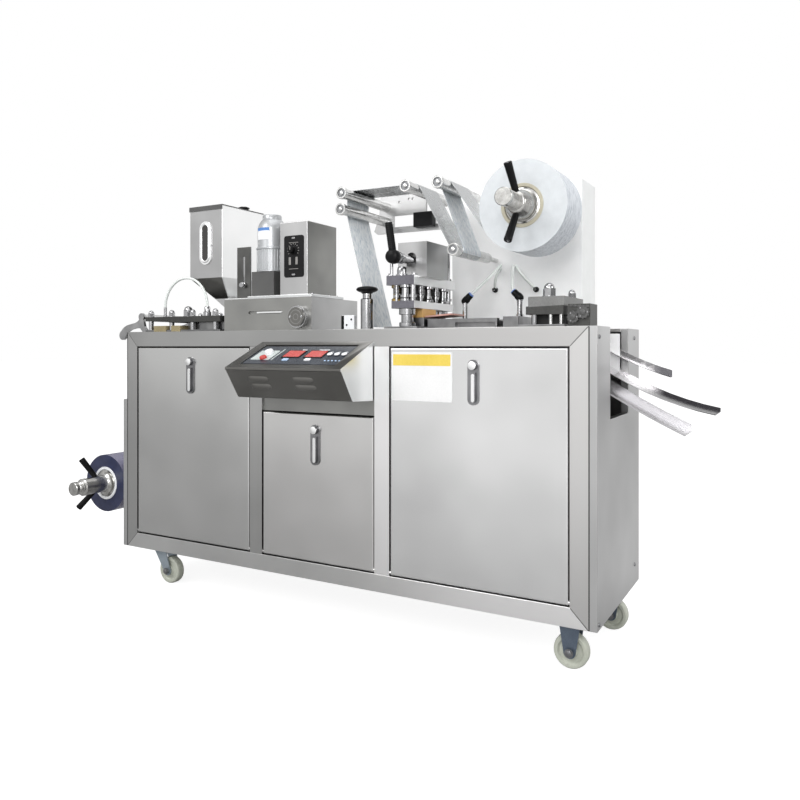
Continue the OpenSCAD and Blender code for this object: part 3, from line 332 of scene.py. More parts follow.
def mottled(name, dark, light, grain, roughness, metallic=0.0, depth=0.15, bump=0.1, **sockets):
    """Even mottle of two near colours with a fine grain, for paint, castings and moulded plastic."""
    material, tree, shader = start_material(name)
    place = add(tree, "ShaderNodeTexCoord")
    fine = add(
        tree, "ShaderNodeTexNoise", values={"Scale": per_mm(grain), "Detail": 4.0, "Roughness": 0.6},
        links={"Vector": place.outputs["Object"]},
    )
    broad = add(
        tree, "ShaderNodeTexNoise", values={"Scale": per_mm(grain * 24), "Detail": 2.0, "Roughness": 0.5},
        links={"Vector": place.outputs["Object"]},
    )
    both = add(
        tree, "ShaderNodeMath", {"operation": "ADD"},
        links={0: fine.outputs["Fac"], 1: broad.outputs["Fac"]},
    )
    ramp = add(
        tree, "ShaderNodeMapRange", values={"From Min": 0.7, "From Max": 1.3},
        links={"Value": both.outputs["Value"]},
    )
    colour = add(
        tree, "ShaderNodeMix", {"data_type": "RGBA"}, {6: srgb(dark), 7: srgb(light)},
        {0: ramp.outputs["Result"]},
    )
    gloss = add(
        tree, "ShaderNodeMapRange",
        values={
            "From Min": 0.3, "From Max": 0.7,
            "To Min": roughness - depth * 0.3, "To Max": roughness + depth * 0.5,
        },
        links={"Value": fine.outputs["Fac"]},
    )
    relief = add(
        tree, "ShaderNodeBump", values={"Strength": bump, "Distance": 0.15 * MM},
        links={"Height": fine.outputs["Fac"]},
    )
    shader.inputs["Metallic"].default_value = metallic
    for key, value in sockets.items():
        shader.inputs[key.replace("_", " ")].default_value = value
    tree.links.new(colour.outputs[2], shader.inputs["Base Color"])
    tree.links.new(gloss.outputs["Result"], shader.inputs["Roughness"])
    tree.links.new(relief.outputs["Normal"], shader.inputs["Normal"])
    return material


def crumpled_foil(name, dark, light, roughness, metallic):
    """Thin lacquered foil: pale, with small slanting creases as bumps and as painted glints, light and dark
    streaks in its colour.
    """
    material, tree, shader = start_material(name)
    place = add(tree, "ShaderNodeTexCoord")
    slanted = add(
        tree, "ShaderNodeMapping",
        values={"Rotation": (0, math.radians(24), 0), "Scale": (per_mm(6.0), per_mm(6.0), per_mm(26.0))},
        links={"Vector": place.outputs["Object"]},
    )
    creases = add(
        tree, "ShaderNodeTexNoise",
        values={"Scale": 1.0, "Detail": 5.0, "Roughness": 0.65, "Distortion": 0.6},
        links={"Vector": slanted.outputs["Vector"]},
    )
    ramp = add(tree, "ShaderNodeValToRGB", links={"Fac": creases.outputs["Fac"]})
    ramp.color_ramp.elements[0].position = 0.34
    ramp.color_ramp.elements[0].color = srgb(dark)
    ramp.color_ramp.elements[1].position = 0.56
    ramp.color_ramp.elements[1].color = srgb(light)
    relief = add(
        tree, "ShaderNodeBump", values={"Strength": 0.25, "Distance": 0.5 * MM},
        links={"Height": creases.outputs["Fac"]},
    )
    shader.inputs["Metallic"].default_value = metallic
    shader.inputs["Roughness"].default_value = roughness
    tree.links.new(ramp.outputs["Color"], shader.inputs["Base Color"])
    tree.links.new(relief.outputs["Normal"], shader.inputs["Normal"])
    return material


def polished_tray(name, pale, dark, start, end):
    """Bent polished sheet: pale by the machine, and dark further out as a painted reflection of a darker
    wall.
    """
    material, tree, shader = start_material(name)
    place = add(tree, "ShaderNodeTexCoord")
    axes = add(tree, "ShaderNodeSeparateXYZ", links={"Vector": place.outputs["Object"]})
    reach = add(
        tree, "ShaderNodeMapRange", {"interpolation_type": "SMOOTHSTEP"},
        {"From Min": start * MM, "From Max": end * MM}, {"Value": axes.outputs["X"]},
    )
    streaks = add(
        tree, "ShaderNodeTexNoise", values={"Scale": per_mm(30.0), "Detail": 3.0, "Roughness": 0.6},
        links={"Vector": place.outputs["Object"]},
    )
    wander = add(
        tree, "ShaderNodeMath", {"operation": "MULTIPLY_ADD", "use_clamp": True}, {1: 0.12},
        {0: streaks.outputs["Fac"], 2: reach.outputs["Result"]},
    )
    colour = add(
        tree, "ShaderNodeMix", {"data_type": "RGBA"}, {6: srgb(pale), 7: srgb(dark)},
        {0: wander.outputs["Value"]},
    )
    shader.inputs["Metallic"].default_value = 1.0
    shader.inputs["Roughness"].default_value = 0.22
    tree.links.new(colour.outputs[2], shader.inputs["Base Color"])
    return material


def dress(material, *names):
    """Gives CAD nodes a material."""
    for name in names:
        mesh = NODES[name].data
        mesh.materials.clear()
        mesh.materials.append(material)


def dress_sides(name, rest, front=None, right=None, top=None, under=None):
    """Gives a CAD node one finish, and others to its faces towards the front, right, top and underside."""
    mesh = NODES[name].data
    mesh.materials.clear()
    mesh.materials.append(rest)
    ways = ((front, (0, -1, 0)), (right, (1, 0, 0)), (top, (0, 0, 1)), (under, (0, 0, -1)))
    for material, way in ways:
        if material is None:
            continue
        mesh.materials.append(material)
        index = len(mesh.materials) - 1
        for face in mesh.polygons:
            if face.normal.dot(Vector(way)) > FACING:
                face.material_index = index


def dress_where(name, material, test):
    """Gives another finish to those faces of a CAD node whose middle, in mm, and direction pass a test."""
    mesh = NODES[name].data
    mesh.materials.append(material)
    index = len(mesh.materials) - 1
    for face in mesh.polygons:
        if test(face.center / MM, face.normal):
            face.material_index = index


def soften(width, *names, edge_highlight=None):
    """Broken edges that catch the light, on CAD nodes with sharp corners; a finish given for them is painted
    on the bevels as a highlight.
    """
    for name in names:
        weld = NODES[name].modifiers.new("joined corners", "WELD")
        weld.merge_threshold = 0.01 * MM
        edge = NODES[name].modifiers.new("broken edges", "BEVEL")
        edge.width = width * MM
        edge.segments = 2
        edge.limit_method = "ANGLE"
        edge.angle_limit = SHARP
        edge.harden_normals = True
        if edge_highlight:
            NODES[name].data.materials.append(edge_highlight)
            edge.material = len(NODES[name].data.materials) - 1


# Cabinet finishes: the same ground stainless sheet, a soft grey mirror that smears what stands before it,
# some parts a little rougher than others; doors, stiles, rails and box sides are copies whose colour is
# painted reflection and shade
DOOR_GLOSS = 0.25
DULL_GLOSS = 0.36
# The three doors are one sheet in three tones of painted reflection: the left darkest, the right lightest.
left_door_steel = brushed_stainless("ground stainless left door, painted dim reflection", "#bdbdbc", "#cececd", "X", DOOR_GLOSS)
middle_door_steel = brushed_stainless("ground stainless middle door, painted reflection", "#cccbca", "#dcdbda", "X", DOOR_GLOSS)
right_door_steel = brushed_stainless("ground stainless right door, painted bright reflection", "#d6d6d6", "#e9e9e9", "X", DOOR_GLOSS)
# Stiles and rails turn lighter towards the outlet end as a painted reflection.
frame_steel = brushed_stainless(
    "ground stainless stiles, painted reflection to the outlet", "#a8a8a7", "#b9b9b8", "Z", outlet=("#d0cfce", 300, 600)
)
rail_steel = brushed_stainless(
    "ground stainless rails, painted reflection to the outlet", "#9c9c9b", "#adadac", "X", outlet=("#c3c2c1", 0, 450)
)
# One stile in a near-white copy of the sheet: a painted highlight.
highlit_stile_steel = brushed_stainless("ground stainless stile, painted highlight", "#eeeded", "#f7f6f6", "Z")
# The lower rail in a lighter copy that turns near white towards the outlet: a painted reflection of the
# floor.
low_rail_steel = brushed_stainless(
    "ground stainless lower rail, painted reflection", "#c6c6c5", "#d4d4d3", "X", outlet=("#fbfafa", 50, 500)
)
end_steel = brushed_stainless("ground stainless end covers", "#b4b4b4", "#c8c8c8", "Z", DULL_GLOSS)
# Box sides in three copies of one stainless: a darker, duller one as painted shade, a middle one for the
# hopper front, and a near-white one as painted highlight.
box_steel = brushed_stainless(
    "stainless boxes, duller side with painted shade", "#8d8d8b", "#9d9d9a", "Z", DULL_GLOSS, patch=120.0
)
bright_steel = brushed_stainless("stainless boxes, side with painted highlight", "#f0f1f1", "#fafafa", "Z", patch=150.0)
hopper_steel = brushed_stainless("stainless hopper front", "#aeaeae", "#bfbfbf", "Z", patch=120.0)
gate_steel = brushed_stainless("stainless gate plate", "#585857", "#6c6c6a", "Z", patch=60.0)
console_steel = brushed_stainless("stainless console front", "#6c6b68", "#7d7c79", "X", patch=160.0)
console_side = brushed_stainless("stainless console side", "#cfd1d1", "#e2e4e4", "Z", patch=160.0)
chute_steel = brushed_stainless("bent stainless trays", "#a6a5a7", "#c2c1c3", "X", DOOR_GLOSS, patch=300.0)

# Machined and turned steel: tighter clouds, and a sharper glint on turned parts
TURNED_GLOSS = 0.22
machined = brushed_stainless("machined tool steel", "#8d8d8e", "#b0b0b0", "Y", patch=40.0)
bed_steel = brushed_stainless("ground station beds", "#747475", "#909090", "Y", patch=40.0)
lock_steel = brushed_stainless("nickel-plated lock", "#7b7b7d", "#8f8f91", "Z", patch=30.0)
machined_bright = brushed_stainless("turned steel", "#a9a8a5", "#cbcac7", "Y", TURNED_GLOSS, patch=14.0)
roller_steel = brushed_stainless("turned rollers", "#c2c2c1", "#e0e0df", "Y", TURNED_GLOSS, patch=14.0)
dark_steel = mottled("dull zinc screws", "#77787a", "#8e8f91", 3.0, 0.4, metallic=0.9)

# Blackened and tinted tool steel: dark, half dull, with a little metal showing through; and a near black for
# dark seams that also stands as painted shade under the punch
black_paint = mottled("blackened steel plate", "#3c3c3b", "#4e4e4c", 3.0, 0.42, metallic=0.6)
punch_steel = mottled("grey tool steel plate", "#6e6e6d", "#838382", 3.0, 0.4, metallic=0.6)
# Near black: dark seams at the frame's ends, and painted shade under the punch.
seam_and_shade_black = mottled("near black for dark seams and painted shade", "#1d1d1d", "#262626", 4.0, 0.6)
purple_plate = mottled("tool steel with heat tint", "#5f5e64", "#75747b", 4.0, 0.38, metallic=0.7)

# Polished sheet of the outlet, darker outwards as a painted reflection; sprayed paint with a fine orange
# peel, one copy of it with painted shade; and plating that mirrors the room
tray_steel = polished_tray("polished stainless main tray, painted reflection", "#f2f0f2", "#3c3b3e", 735.0, 800.0)
strip_steel = polished_tray("polished stainless guide strip, painted reflection", "#ecebec", "#77767a", 700.0, 800.0)
gearbox_paint = mottled("grey-black gearbox enamel", "#474747", "#545453", 2.5, 0.4)
white_paint = mottled("white sprayed steel", "#f4f5f5", "#fafafa", 1.5, 0.38)
# A greyer, slightly rougher copy of the white paint: painted shade for a side in shade.
shaded_paint = mottled("white sprayed steel, duller side with painted shade", "#e2e4e3", "#e9eaea", 1.5, 0.42)
motor_paint = mottled("silver grey motor enamel", "#aaacae", "#bdbfc1", 2.0, 0.3, metallic=0.45, bump=0.03)
chrome = mottled("bright chrome plate", "#a2a2a4", "#b9b9ba", 12.0, 0.12, metallic=1.0, depth=0.05, bump=0.02)
brass = mottled("brass bush", "#a58a4e", "#bfa569", 4.0, 0.25, metallic=1.0)

# Mouldings, keys and prints: even colour, satin, with a fine grain
black_plastic = mottled("black phenolic moulding", "#0d0d0e", "#171718", 1.0, 0.3, Specular_IOR_Level=0.12)
dark_membrane = mottled("dark blue-grey keypad membrane", "#2b3038", "#363c46", 2.0, 0.28)
panel_black = mottled("black anodised panel", "#131314", "#1c1c1d", 1.5, 0.35, Specular_IOR_Level=0.15)
grey_print = mottled("grey panel print", "#7c7a78", "#8f8d8a", 2.0, 0.5)
pale_plate = mottled("pale painted switch plate", "#aeb6b4", "#c3cac8", 3.0, 0.35)
white_plastic = mottled("white moulded plastic", "#e3e5e8", "#f0f1f3", 1.5, 0.3)
pale_blue_plastic = mottled("pale blue moulded keys", "#9db7d6", "#b5cbe4", 2.0, 0.3)
blue_plastic = mottled("blue acetal ring", "#4a6db0", "#5f80c0", 2.0, 0.3)
blue_print = mottled("blue printed band", "#3f74b8", "#5585c4", 2.0, 0.4)
red_plastic = mottled("red moulded button", "#b03a35", "#c44a44", 2.0, 0.28)
red_display = mottled("red acrylic display window", "#b2403c", "#c24b46", 6.0, 0.2)

# Card, board and nylon: matt and slightly uneven in colour
card_white = mottled("white card", "#dfdfdf", "#e7e7e7", 3.0, 0.55)
card_yellow = mottled("yellow printed band", "#d9be4a", "#e6cd5f", 3.0, 0.5)
tan_card = mottled("wound card core", "#aba694", "#c4beaa", 2.0, 0.6)
tan_board = mottled("phenolic board", "#847858", "#968a69", 2.0, 0.5)
tan_bright = mottled("new phenolic board", "#bb9052", "#d2aa6c", 2.0, 0.45)
red_strip = mottled("reddish copper strip", "#b98a80", "#cba298", 3.0, 0.4, metallic=0.4)
nylon = mottled("cream nylon wheel", "#aaada1", "#bfc2b6", 1.5, 0.4)

# Castor plating, film and foil, hose and pane: zinc has a cold half-dull sheen, wound edges are matt, the
# film's outer turn has a painted sheen, loose foil has painted glints along its creases, and clear plastic
# shines
swivel_zinc = mottled("pale zinc plate", "#8f9aa3", "#a5afb7", 2.0, 0.35, metallic=0.6)
castor_paint = mottled("blue-grey zinc plate", "#5a6574", "#6d7886", 2.0, 0.35, metallic=0.7)
film_edge = mottled("blue vinyl film, wound edges", "#22263f", "#2f3554", 0.8, 0.32, bump=0.2)
# Outer turn of the film, lighter than its wound edges by a painted sheen.
film_rim = mottled("blue vinyl film, outer turn with painted sheen", "#6f6d86", "#8b899f", 30.0, 0.22, metallic=0.2)
foil_edge = mottled("aluminium foil, wound edges", "#c5c9cc", "#d0d4d7", 0.8, 0.45, metallic=0.1, bump=0.1)
# Foil on the roll and loose foil carry painted glints along their creases.
foil_rim = crumpled_foil("aluminium foil on the roll", "#a4abb4", "#d3d8de", 0.35, 0.3)
foil_smooth = mottled("aluminium foil, bare side", "#a4a6a7", "#b8babb", 30.0, 0.25, metallic=0.8, bump=0.02)
foil_lacquer = crumpled_foil("aluminium foil, lacquered side", "#c6d1da", "#f4f8fa", 0.4, 0.1)
clear_hose = mottled("clear polyurethane hose", "#d3d8d5", "#e6eae7", 3.0, 0.15)
dark_pane = mottled("smoked acrylic pane", "#2c2b29", "#383634", 6.0, 0.12)


# Bounds, in mm, of faces that have a finish of their own; a line has its height, its start in X and its fall
# Stretch in X of the stile that carries a painted highlight
HIGHLIT_STILE_X = (140, 240)
LOW_RAIL_Z = 300
MAIN_TRAY_Y = 45
MAIN_TRAY_LINE = (640, 700, 0.6)
GUIDE_STRIP_Y = 99
GUIDE_STRIP_LINE = (664, 690, 0.48)
GUIDE_BLOCK_X = (27, 67)
GUIDE_BLOCK_DEPTH = (-67, -53)
GUIDE_BLOCK_Z = 721
DARK_BOX_X = (152, 209)
DARK_BOX_Y = 111.9
PUNCH_UPPER_Z = 765.5
# The stretch of foil from the fourth to the fifth roller lies between two slanting lines: each has its X at
# the top, and how far that moves for each mm down
LACQUER_FROM = (300.0, 0.28)
LACQUER_TO = (330.0, 0.5)
LACQUER_DROP_X = 200.0
LACQUER_LOW_Z = 900.0
LACQUER_TOP_Z = 1060.0


def between(value, span):
    return span[0] < value < span[1]


def above(at, line):
    """True for a place above a line that falls towards the outlet."""
    height, start, fall = line
    return at.z > height - (at.x - start) * fall


def on_guide_block(at, way):
    return between(at.x, GUIDE_BLOCK_X) and between(at.y, GUIDE_BLOCK_DEPTH) and at.z > GUIDE_BLOCK_Z


def on_lacquered_side(at, way):
    """True for the faces of the foil whose lacquered side is outwards."""
    down = LACQUER_TOP_Z - at.z
    inwards = LACQUER_FROM[0] + LACQUER_FROM[1] * down < at.x < LACQUER_TO[0] + LACQUER_TO[1] * down
    return way.x > 0.3 and (at.x < LACQUER_DROP_X or (at.z > LACQUER_LOW_Z and inwards))


# Doors in their tones of painted reflection
dress(left_door_steel, "left_door")
dress(middle_door_steel, "middle_door", "back_panel", "base_pan")
# The strip under the console takes the darker box copy as painted shadow.
dress(box_steel, "console_backing")
dress(right_door_steel, "right_door")
# Stiles and rails with their painted reflection, lighter towards the outlet
dress(frame_steel, "front_stiles")
dress(rail_steel, "front_rails", "table_top")
# One stile takes the near-white copy as a painted highlight.
dress_where("front_stiles", highlit_stile_steel, lambda at, way: between(at.x, HIGHLIT_STILE_X))
# The lower rail takes its lighter copy, a painted reflection.
dress_where("front_rails", low_rail_steel, lambda at, way: at.z < LOW_RAIL_Z)
dress(console_side, "feeder_lid")
dress(end_steel, "left_end_panel", "left_end_cover", "right_end_cover")
# Boxes take a lit or shaded copy of the stainless on each side: painted highlight and painted shade.
dress_sides("hopper", hopper_steel, right=bright_steel)
# Faces of the hopper that look down take the dark console stainless as painted shade.
dress_where("hopper", console_steel, lambda at, way: way.z < -0.25 and way.x < 0.5)
dress_sides("feeder_base", box_steel, right=hopper_steel)
dress_sides("speed_control_box", box_steel, front=hopper_steel)
dress(gearbox_paint, "motor_gearbox")
# The lid's front and right faces take the dark gearbox enamel as painted shade, and its top the painted
# highlight copy.
dress_sides("hopper_lid", bright_steel, front=gearbox_paint, right=gearbox_paint)
dress_sides("gate_plate", gate_steel, right=hopper_steel)
dress(chute_steel, "discharge_chutes")
# The main tray and guide strip darken outwards as a painted reflection.
dress_where("discharge_chutes", tray_steel, lambda at, way: at.y > MAIN_TRAY_Y or above(at, MAIN_TRAY_LINE))
dress_where(
    "discharge_chutes", strip_steel, lambda at, way: at.y > GUIDE_STRIP_Y and above(at, GUIDE_STRIP_LINE)
)
dress(machined, "film_guide_arms")
dress(bed_steel, "station_beds")
dress_where("station_beds", white_plastic, on_guide_block)
dress(hopper_steel, "sealing_block", "roller_plate")
dress_where("roller_plate", panel_black, lambda at, way: between(at.x, DARK_BOX_X) and at.y < DARK_BOX_Y)
dress_sides("console_housing", console_steel, right=console_side)
dress(black_paint, "heater_plate", "punch_plates", "film_bracket", "drive_chain")
dress_where("punch_plates", punch_steel, lambda at, way: at.z > PUNCH_UPPER_Z)
# The sealing plates' right faces take the painted highlight copy.
dress_sides("sealing_plates", hopper_steel, front=purple_plate, right=bright_steel)
# The upright's right side takes the shaded copy of its white paint: painted shade.
dress_sides("upright_box", white_paint, right=shaded_paint)
dress(motor_paint, "feeder_motor")
dress(chrome, "guide_posts", "film_spindle", "foil_spindle", "cam_shaft", "guide_rollers")
dress(black_plastic, "keypad", "cam_grip", "clamp_knob", "film_handles", "foil_handles", "air_fittings")
dress(lock_steel, "left_lock", "middle_lock", "right_lock")
dress(tan_board, "insulation_blocks")
dress_where("insulation_blocks", tan_bright, lambda at, way: at.x > 0)
dress(nylon, "wheel_front_right", "wheel_back_right", "wheel_front_left", "wheel_back_left")
dress(castor_paint, "rigid_castor_forks")
dress(swivel_zinc, "fork_front_left", "fork_back_left")
dress_sides("film_roll", film_rim, front=film_edge)
dress_sides("foil_roll", foil_rim, front=foil_edge)
dress(foil_smooth, "foil_web")
dress_where("foil_web", foil_lacquer, on_lacquered_side)
dress(clear_hose, "air_hoses")
dress(bright_steel, "hopper_window")
soften(
    1.2, "front_rails", "front_stiles", "left_end_cover", "right_end_cover", "table_top", "motor_gearbox",
    "heater_plate", "punch_plates", "sealing_plates", "sealing_block", "station_beds", "insulation_blocks",
    "upright_box", "console_housing", "film_guide_arms", "drive_chain",
)
# The boxes' broken edges take the near-white copy as a painted highlight.
soften(1.6, "feeder_base", "feeder_lid", "speed_control_box", "hopper", edge_highlight=bright_steel)


# Places that the details take from the frame's own layout
CORE_RADIUS = 50.0
HANDLE_START = 26.0
HANDLE_LENGTH = 70.0
HANDLE_LEAN = math.radians(25)
HANDLE_BACK = 18.0
DIAL_X = -75.5
DIAL_Z = 754.5
UPRIGHT_Y = 175.0
GUIDE_BLOCK_Y = -66.0
# Boards of the forming station: left edge and width
FORMING_BOARDS = ((-597.5, 50), (-527.5, 36))
# Guide rollers: X, Z, front end, back end
ROLLERS = (
    (59.5, 1061, -115, 112), (56.5, 1021, -115, 112), (240.5, 1060, -115, 175), (326.5, 1060, -115, 175),
    (356.5, 904, -95, 175),
)
ROLLER_PLATE_Y = 112.0
ARM_ROLLERS = ((-661.5, 766), (-741.5, 712))
# Air fittings: top of the stem, its foot, and the side it leans to
STEMS = (((336.5, 20, 790), 739, 1), ((478.5, 20, 794), 747, -1))
FITTING_TILT = math.radians(46)
FITTING_LENGTH = 24.0
WALL_PLUGS = ((354.5, 827), (466.5, 824))
# Posts of the forming station, and posts of the sealing station with their radius
FORMING_POSTS = tuple((x, y) for x in (-621.5, -537.5, -455.4, -369.5) for y in (-101, 101))
SEALING_POSTS = (
    (211.5, -102, 5), (234.5, -101, 9), (255.5, -101, 6), (255.5, -62, 5), (255.5, -22, 6), (255.5, 20, 5),
    (255.5, 60, 6), (255.5, 93, 6), (211.5, 93, 6),
)
PILLARS = ((235.5, -92), (235.5, 84))
SEALING_RODS = ((258.5, 88, 4, 77), (246.5, 96, 3, 70), (198.5, -104, 4, 30))
PUNCH_POSTS = ((556.5, -101), (556.5, 21), (612.5, -9))
COLUMN = (126.5, -100)
# Radius and height of the domed nuts
SMALL_NUT = (8, 20)
BIG_NUT = (12, 30)
TABLE_Z = 720
BED_Z = 726
HEATER_TOP = 764
PUNCH_TOP = 786
SEAL_GAP = (787, 825)
SEAL_TOP = 848
LOOSE_NUTS = (
    (612.5, -9, PUNCH_TOP, SMALL_NUT), (588.5, -97, PUNCH_TOP, BIG_NUT), (-483.5, -90, HEATER_TOP, BIG_NUT),
)


# Console: membrane, displays, keys and pressed louvres
CONSOLE_FALL = 62.0
KEYPAD_SUNK = -2.0
KEY_LEVEL = 0.8


def build_console():
    low, high = limits("console_housing")
    slope = math.atan2(CONSOLE_FALL, high.y - low.y)
    face = (Vector((1, 0, 0)), Vector((0, math.cos(slope), math.sin(slope))))
    corner = Vector((low.x, high.y, high.z))

    def spot(x, y, rise=0.0):
        """Place on the keypad: x from the console's left edge, y down from its top edge."""
        out = face[0].cross(face[1])
        return on_face(corner + face[0] * x - face[1] * y + out * (KEYPAD_SUNK + rise), face)

    membrane = bmesh.new()
    plate(membrane, 272, 100, KEY_LEVEL, spot(169, 77), 4.0, 0.3)
    piece("keypad_membrane", membrane, dark_membrane, "machine")

    meter = bmesh.new()
    plate(meter, 58, 52, 1.0, spot(70, 80, KEY_LEVEL), 3.0, 0.4)
    plate(meter, 3, 62, 1.2, spot(107, 76, KEY_LEVEL), 1.0, 0.3)
    piece("keypad_switch_plate", meter, pale_plate, "machine")

    frames = bmesh.new()
    windows = bmesh.new()
    for x in (153, 218):
        plate(frames, 54, 42, 1.2, spot(x, 73, KEY_LEVEL), 2.5, 0.5)
        plate(windows, 47, 34, 0.9, spot(x, 73, KEY_LEVEL + 1.0), 1.5, 0.3)
    piece("display_frames", frames, black_plastic, "machine")
    piece("display_windows", windows, red_display, "machine")

    white = bmesh.new()
    for i in range(3):
        lathe(white, [(0, 3), (6.8, 3), (6.8, 4.6), (5.8, 5.4), (0, 5.8)], spot(259 + 20 * i, 76.5), 24)
        plate(white, 7, 2.2, 0.5, spot(256 + 20 * i, 60, KEY_LEVEL), 0.8, 0.15)
    lathe(white, [(11, 0), (11, 6), (9, 9), (0, 9.6)], spot(76, 71, KEY_LEVEL + 0.9), 28)
    plate(white, 16, 11, 2.0, spot(212, 104, KEY_LEVEL), 2.0, 0.5)
    plate(white, 14, 3, 0.4, spot(168, 48, KEY_LEVEL), 0.8, 0.1)
    plate(white, 30, 3, 0.4, spot(226, 48, KEY_LEVEL), 0.8, 0.1)
    piece("keypad_white_keys", white, white_plastic, "machine")

    blue = bmesh.new()
    plate(blue, 16, 11, 2.0, spot(148, 105, KEY_LEVEL), 2.0, 0.5)
    for i in range(5):
        lathe(blue, [(2.4, 0), (2.4, 1.0), (1.6, 1.5), (0, 1.6)], spot(264 + 10 * i, 108, KEY_LEVEL), 14)
    piece("keypad_blue_keys", blue, pale_blue_plastic, "machine")

    red = bmesh.new()
    lathe(red, [(9, 0), (9, 4), (7.5, 6), (0, 6.6)], spot(78, 99, KEY_LEVEL + 0.9), 28)
    piece("stop_button", red, red_plastic, "machine")

    # Louvres, pressed outwards from the sloping front and open below
    nose = Vector((0, low.y + 3, high.z - CONSOLE_FALL - 7))
    heel = Vector((0, -255.2, 558.2))
    front = (Vector((1, 0, 0)), (nose - heel).normalized())
    louvres = bmesh.new()
    for x in (-64, 66):
        for drop in (23, 45):
            add_louvre(louvres, on_face(Vector((x, nose.y, nose.z)) - front[1] * drop, front), 62, 13, 5.5)
    piece("console_louvres", louvres, console_steel, "machine")


def add_louvre(form, place, length, height, bulge):
    """Pressed louvre: flush at its top edge and ends, standing out along its lower lip."""
    steps = 16
    section = ((0.5, 0.0), (0.3, 0.45), (0.0, 0.8), (-0.3, 0.98), (-0.42, 1.0), (-0.5, 0.8), (-0.5, 0.0))
    rings = []
    for i in range(steps + 1):
        u = -1 + 2 * i / steps
        swell = max(1 - u ** 4, 0.0) ** 0.5
        wide = 0.55 + 0.45 * swell
        rings.append([
            form.verts.new(place @ Vector((u * length / 2, v * height * wide, w * bulge * swell)))
            for v, w in section
        ])
    bridge(form, rings)


# Feeder: speed panel, dial, slide and screws
def build_feeder():
    low, high = limits("speed_control_box")
    x, z = low.x + 46, low.z + 101

    def spot(dx, dz, rise=0.0):
        return on_face(Vector((x + dx, low.y - rise, z + dz)), FRONT)

    panel = bmesh.new()
    plate(panel, 64, 110, 2.0, spot(0, 0), 7.0, 0.8)
    piece("speed_panel", panel, panel_black, "machine")
    knob = bmesh.new()
    lathe(knob, [(12, 0), (12, 2), (9.5, 3), (8.5, 13), (7.0, 14.5), (0, 14.5)], spot(-1, 16, 2.0), 28)
    piece("speed_knob", knob, black_plastic, "machine")
    marks = bmesh.new()
    for i in range(11):
        angle = math.radians(-120 + 24 * i)
        place = spot(-1, 16, 2.0) @ Matrix.Rotation(-angle, 4, "Z") @ Matrix.Translation((0, 17, 0))
        plate(marks, 1.6, 4.0, 0.4, place, 0.4, 0.1)
    plate(marks, 2.0, 7.0, 0.5, spot(-1, 19, 16.5), 0.5, 0.1)
    for dx in (-12, 10):
        plate(marks, 7, 20, 0.8, spot(dx, -12, 2.0), 1.0, 0.2)
    for dz in (-33, 36):
        plate(marks, 30, 1.4, 0.3, spot(0, dz, 2.0), 0.4, 0.1)
    piece("speed_panel_marks", marks, grey_print, "machine")
    screws = bmesh.new()
    for dz in (-48, 48):
        plate(screws, 11, 5, 2.0, spot(0, dz, 2.0), 2.2, 0.7)
    for y in (-82, -6):
        pan_head(screws, on_face((high.x + 12, y, low.z), TOP), 4.5, 4.0)
    for y in (low.y + 14, high.y - 14):
        pan_head(screws, on_face((high.x + 12, y, low.z), TOP), 2.5, 2.5)
    dial_low = limits("feeder_base")[0]
    for dx in (-18, 18):
        pan_head(screws, on_face((DIAL_X + dx, dial_low.y, DIAL_Z), FRONT), 3.6, 2.0)
    face = on_face((DIAL_X, dial_low.y, DIAL_Z), FRONT)
    dial = bmesh.new()
    lathe(dial, [(25.2, -3.9), (25.2, -0.6), (24.4, 0.3), (19, 0.3), (18.6, -0.1), (17, -0.1), (16.6, 0.3),
                 (9, 0.3), (8.6, -0.1), (7, -0.1), (6.6, 0.3), (0, 0.3)], face, 48)
    piece("dial_face", dial, console_steel, "machine")
    rim = bmesh.new()
    lathe(rim, [(29.3, -17.8), (29.3, -4.8), (28.4, -3.9), (25, -3.9)], face, 48)
    piece("dial_rim", rim, chrome, "machine")
    slot = bmesh.new()
    slot_at = on_face((DIAL_X - 100, dial_low.y + 19, TABLE_Z + 49), FRONT)
    plate(slot, 84, 4.5, 3.0, slot_at, 2.0, 0.4)
    piece("slot_slide", slot, bright_steel, "machine")
    piece("feeder_screws", screws, chrome, "machine")


# Motor: finned case with a plain plate round its front
MOTOR_FINS = 36
MOTOR_PLATE_TURN = (math.radians(-122), math.radians(-62))


def build_motor():
    low, high = limits("feeder_motor")
    centre = (low + high) / 2
    foot = Matrix.Translation((centre.x, centre.y, low.z))
    case = bmesh.new()
    lathe(case, [(0, 0), (42, 0), (42, 4), (40.5, 5), (40.5, 60), (43, 61), (43, 65), (40, 66.5), (39.5, 70),
                 (39.5, 118), (38.6, 123), (36.5, 129), (33, 136), (29, 141), (26, 143), (26, 153), (24, 156),
                 (0, 156)], foot, 64)
    fin = rounded_outline(3.2, 3.0, 1.0, 3)
    for i in range(MOTOR_FINS):
        turn = foot @ Matrix.Rotation(math.tau * i / MOTOR_FINS, 4, "Z") @ Matrix.Translation((40, 0, 5))
        stack(case, [(fin, 0), (fin, 55)], turn)
    stand_for("feeder_motor", "motor_case", case, motor_paint, "machine")
    bands = (("motor_plate", white_plastic, 86, 24), ("motor_plate_band", blue_print, 110, 8))
    for name, material, rise, tall in bands:
        form = bmesh.new()
        curved_plate(form, Vector((centre.x, centre.y, low.z + rise)), 39.6, tall, *MOTOR_PLATE_TURN)
        piece(name, form, material, "machine")


def build_gate():
    """Turned knob of the feeder's gate."""
    low, high = limits("gate_plate")
    knob = bmesh.new()
    place = on_face(((low.x + high.x) / 2, low.y, low.z + 36), FRONT)
    lathe(knob, [(7, 0), (7, 2), (4.5, 3), (4.5, 5), (7.5, 7), (7.5, 11), (6, 12.5), (0, 12.5)], place, 24)
    piece("gate_knob", knob, chrome, "machine")


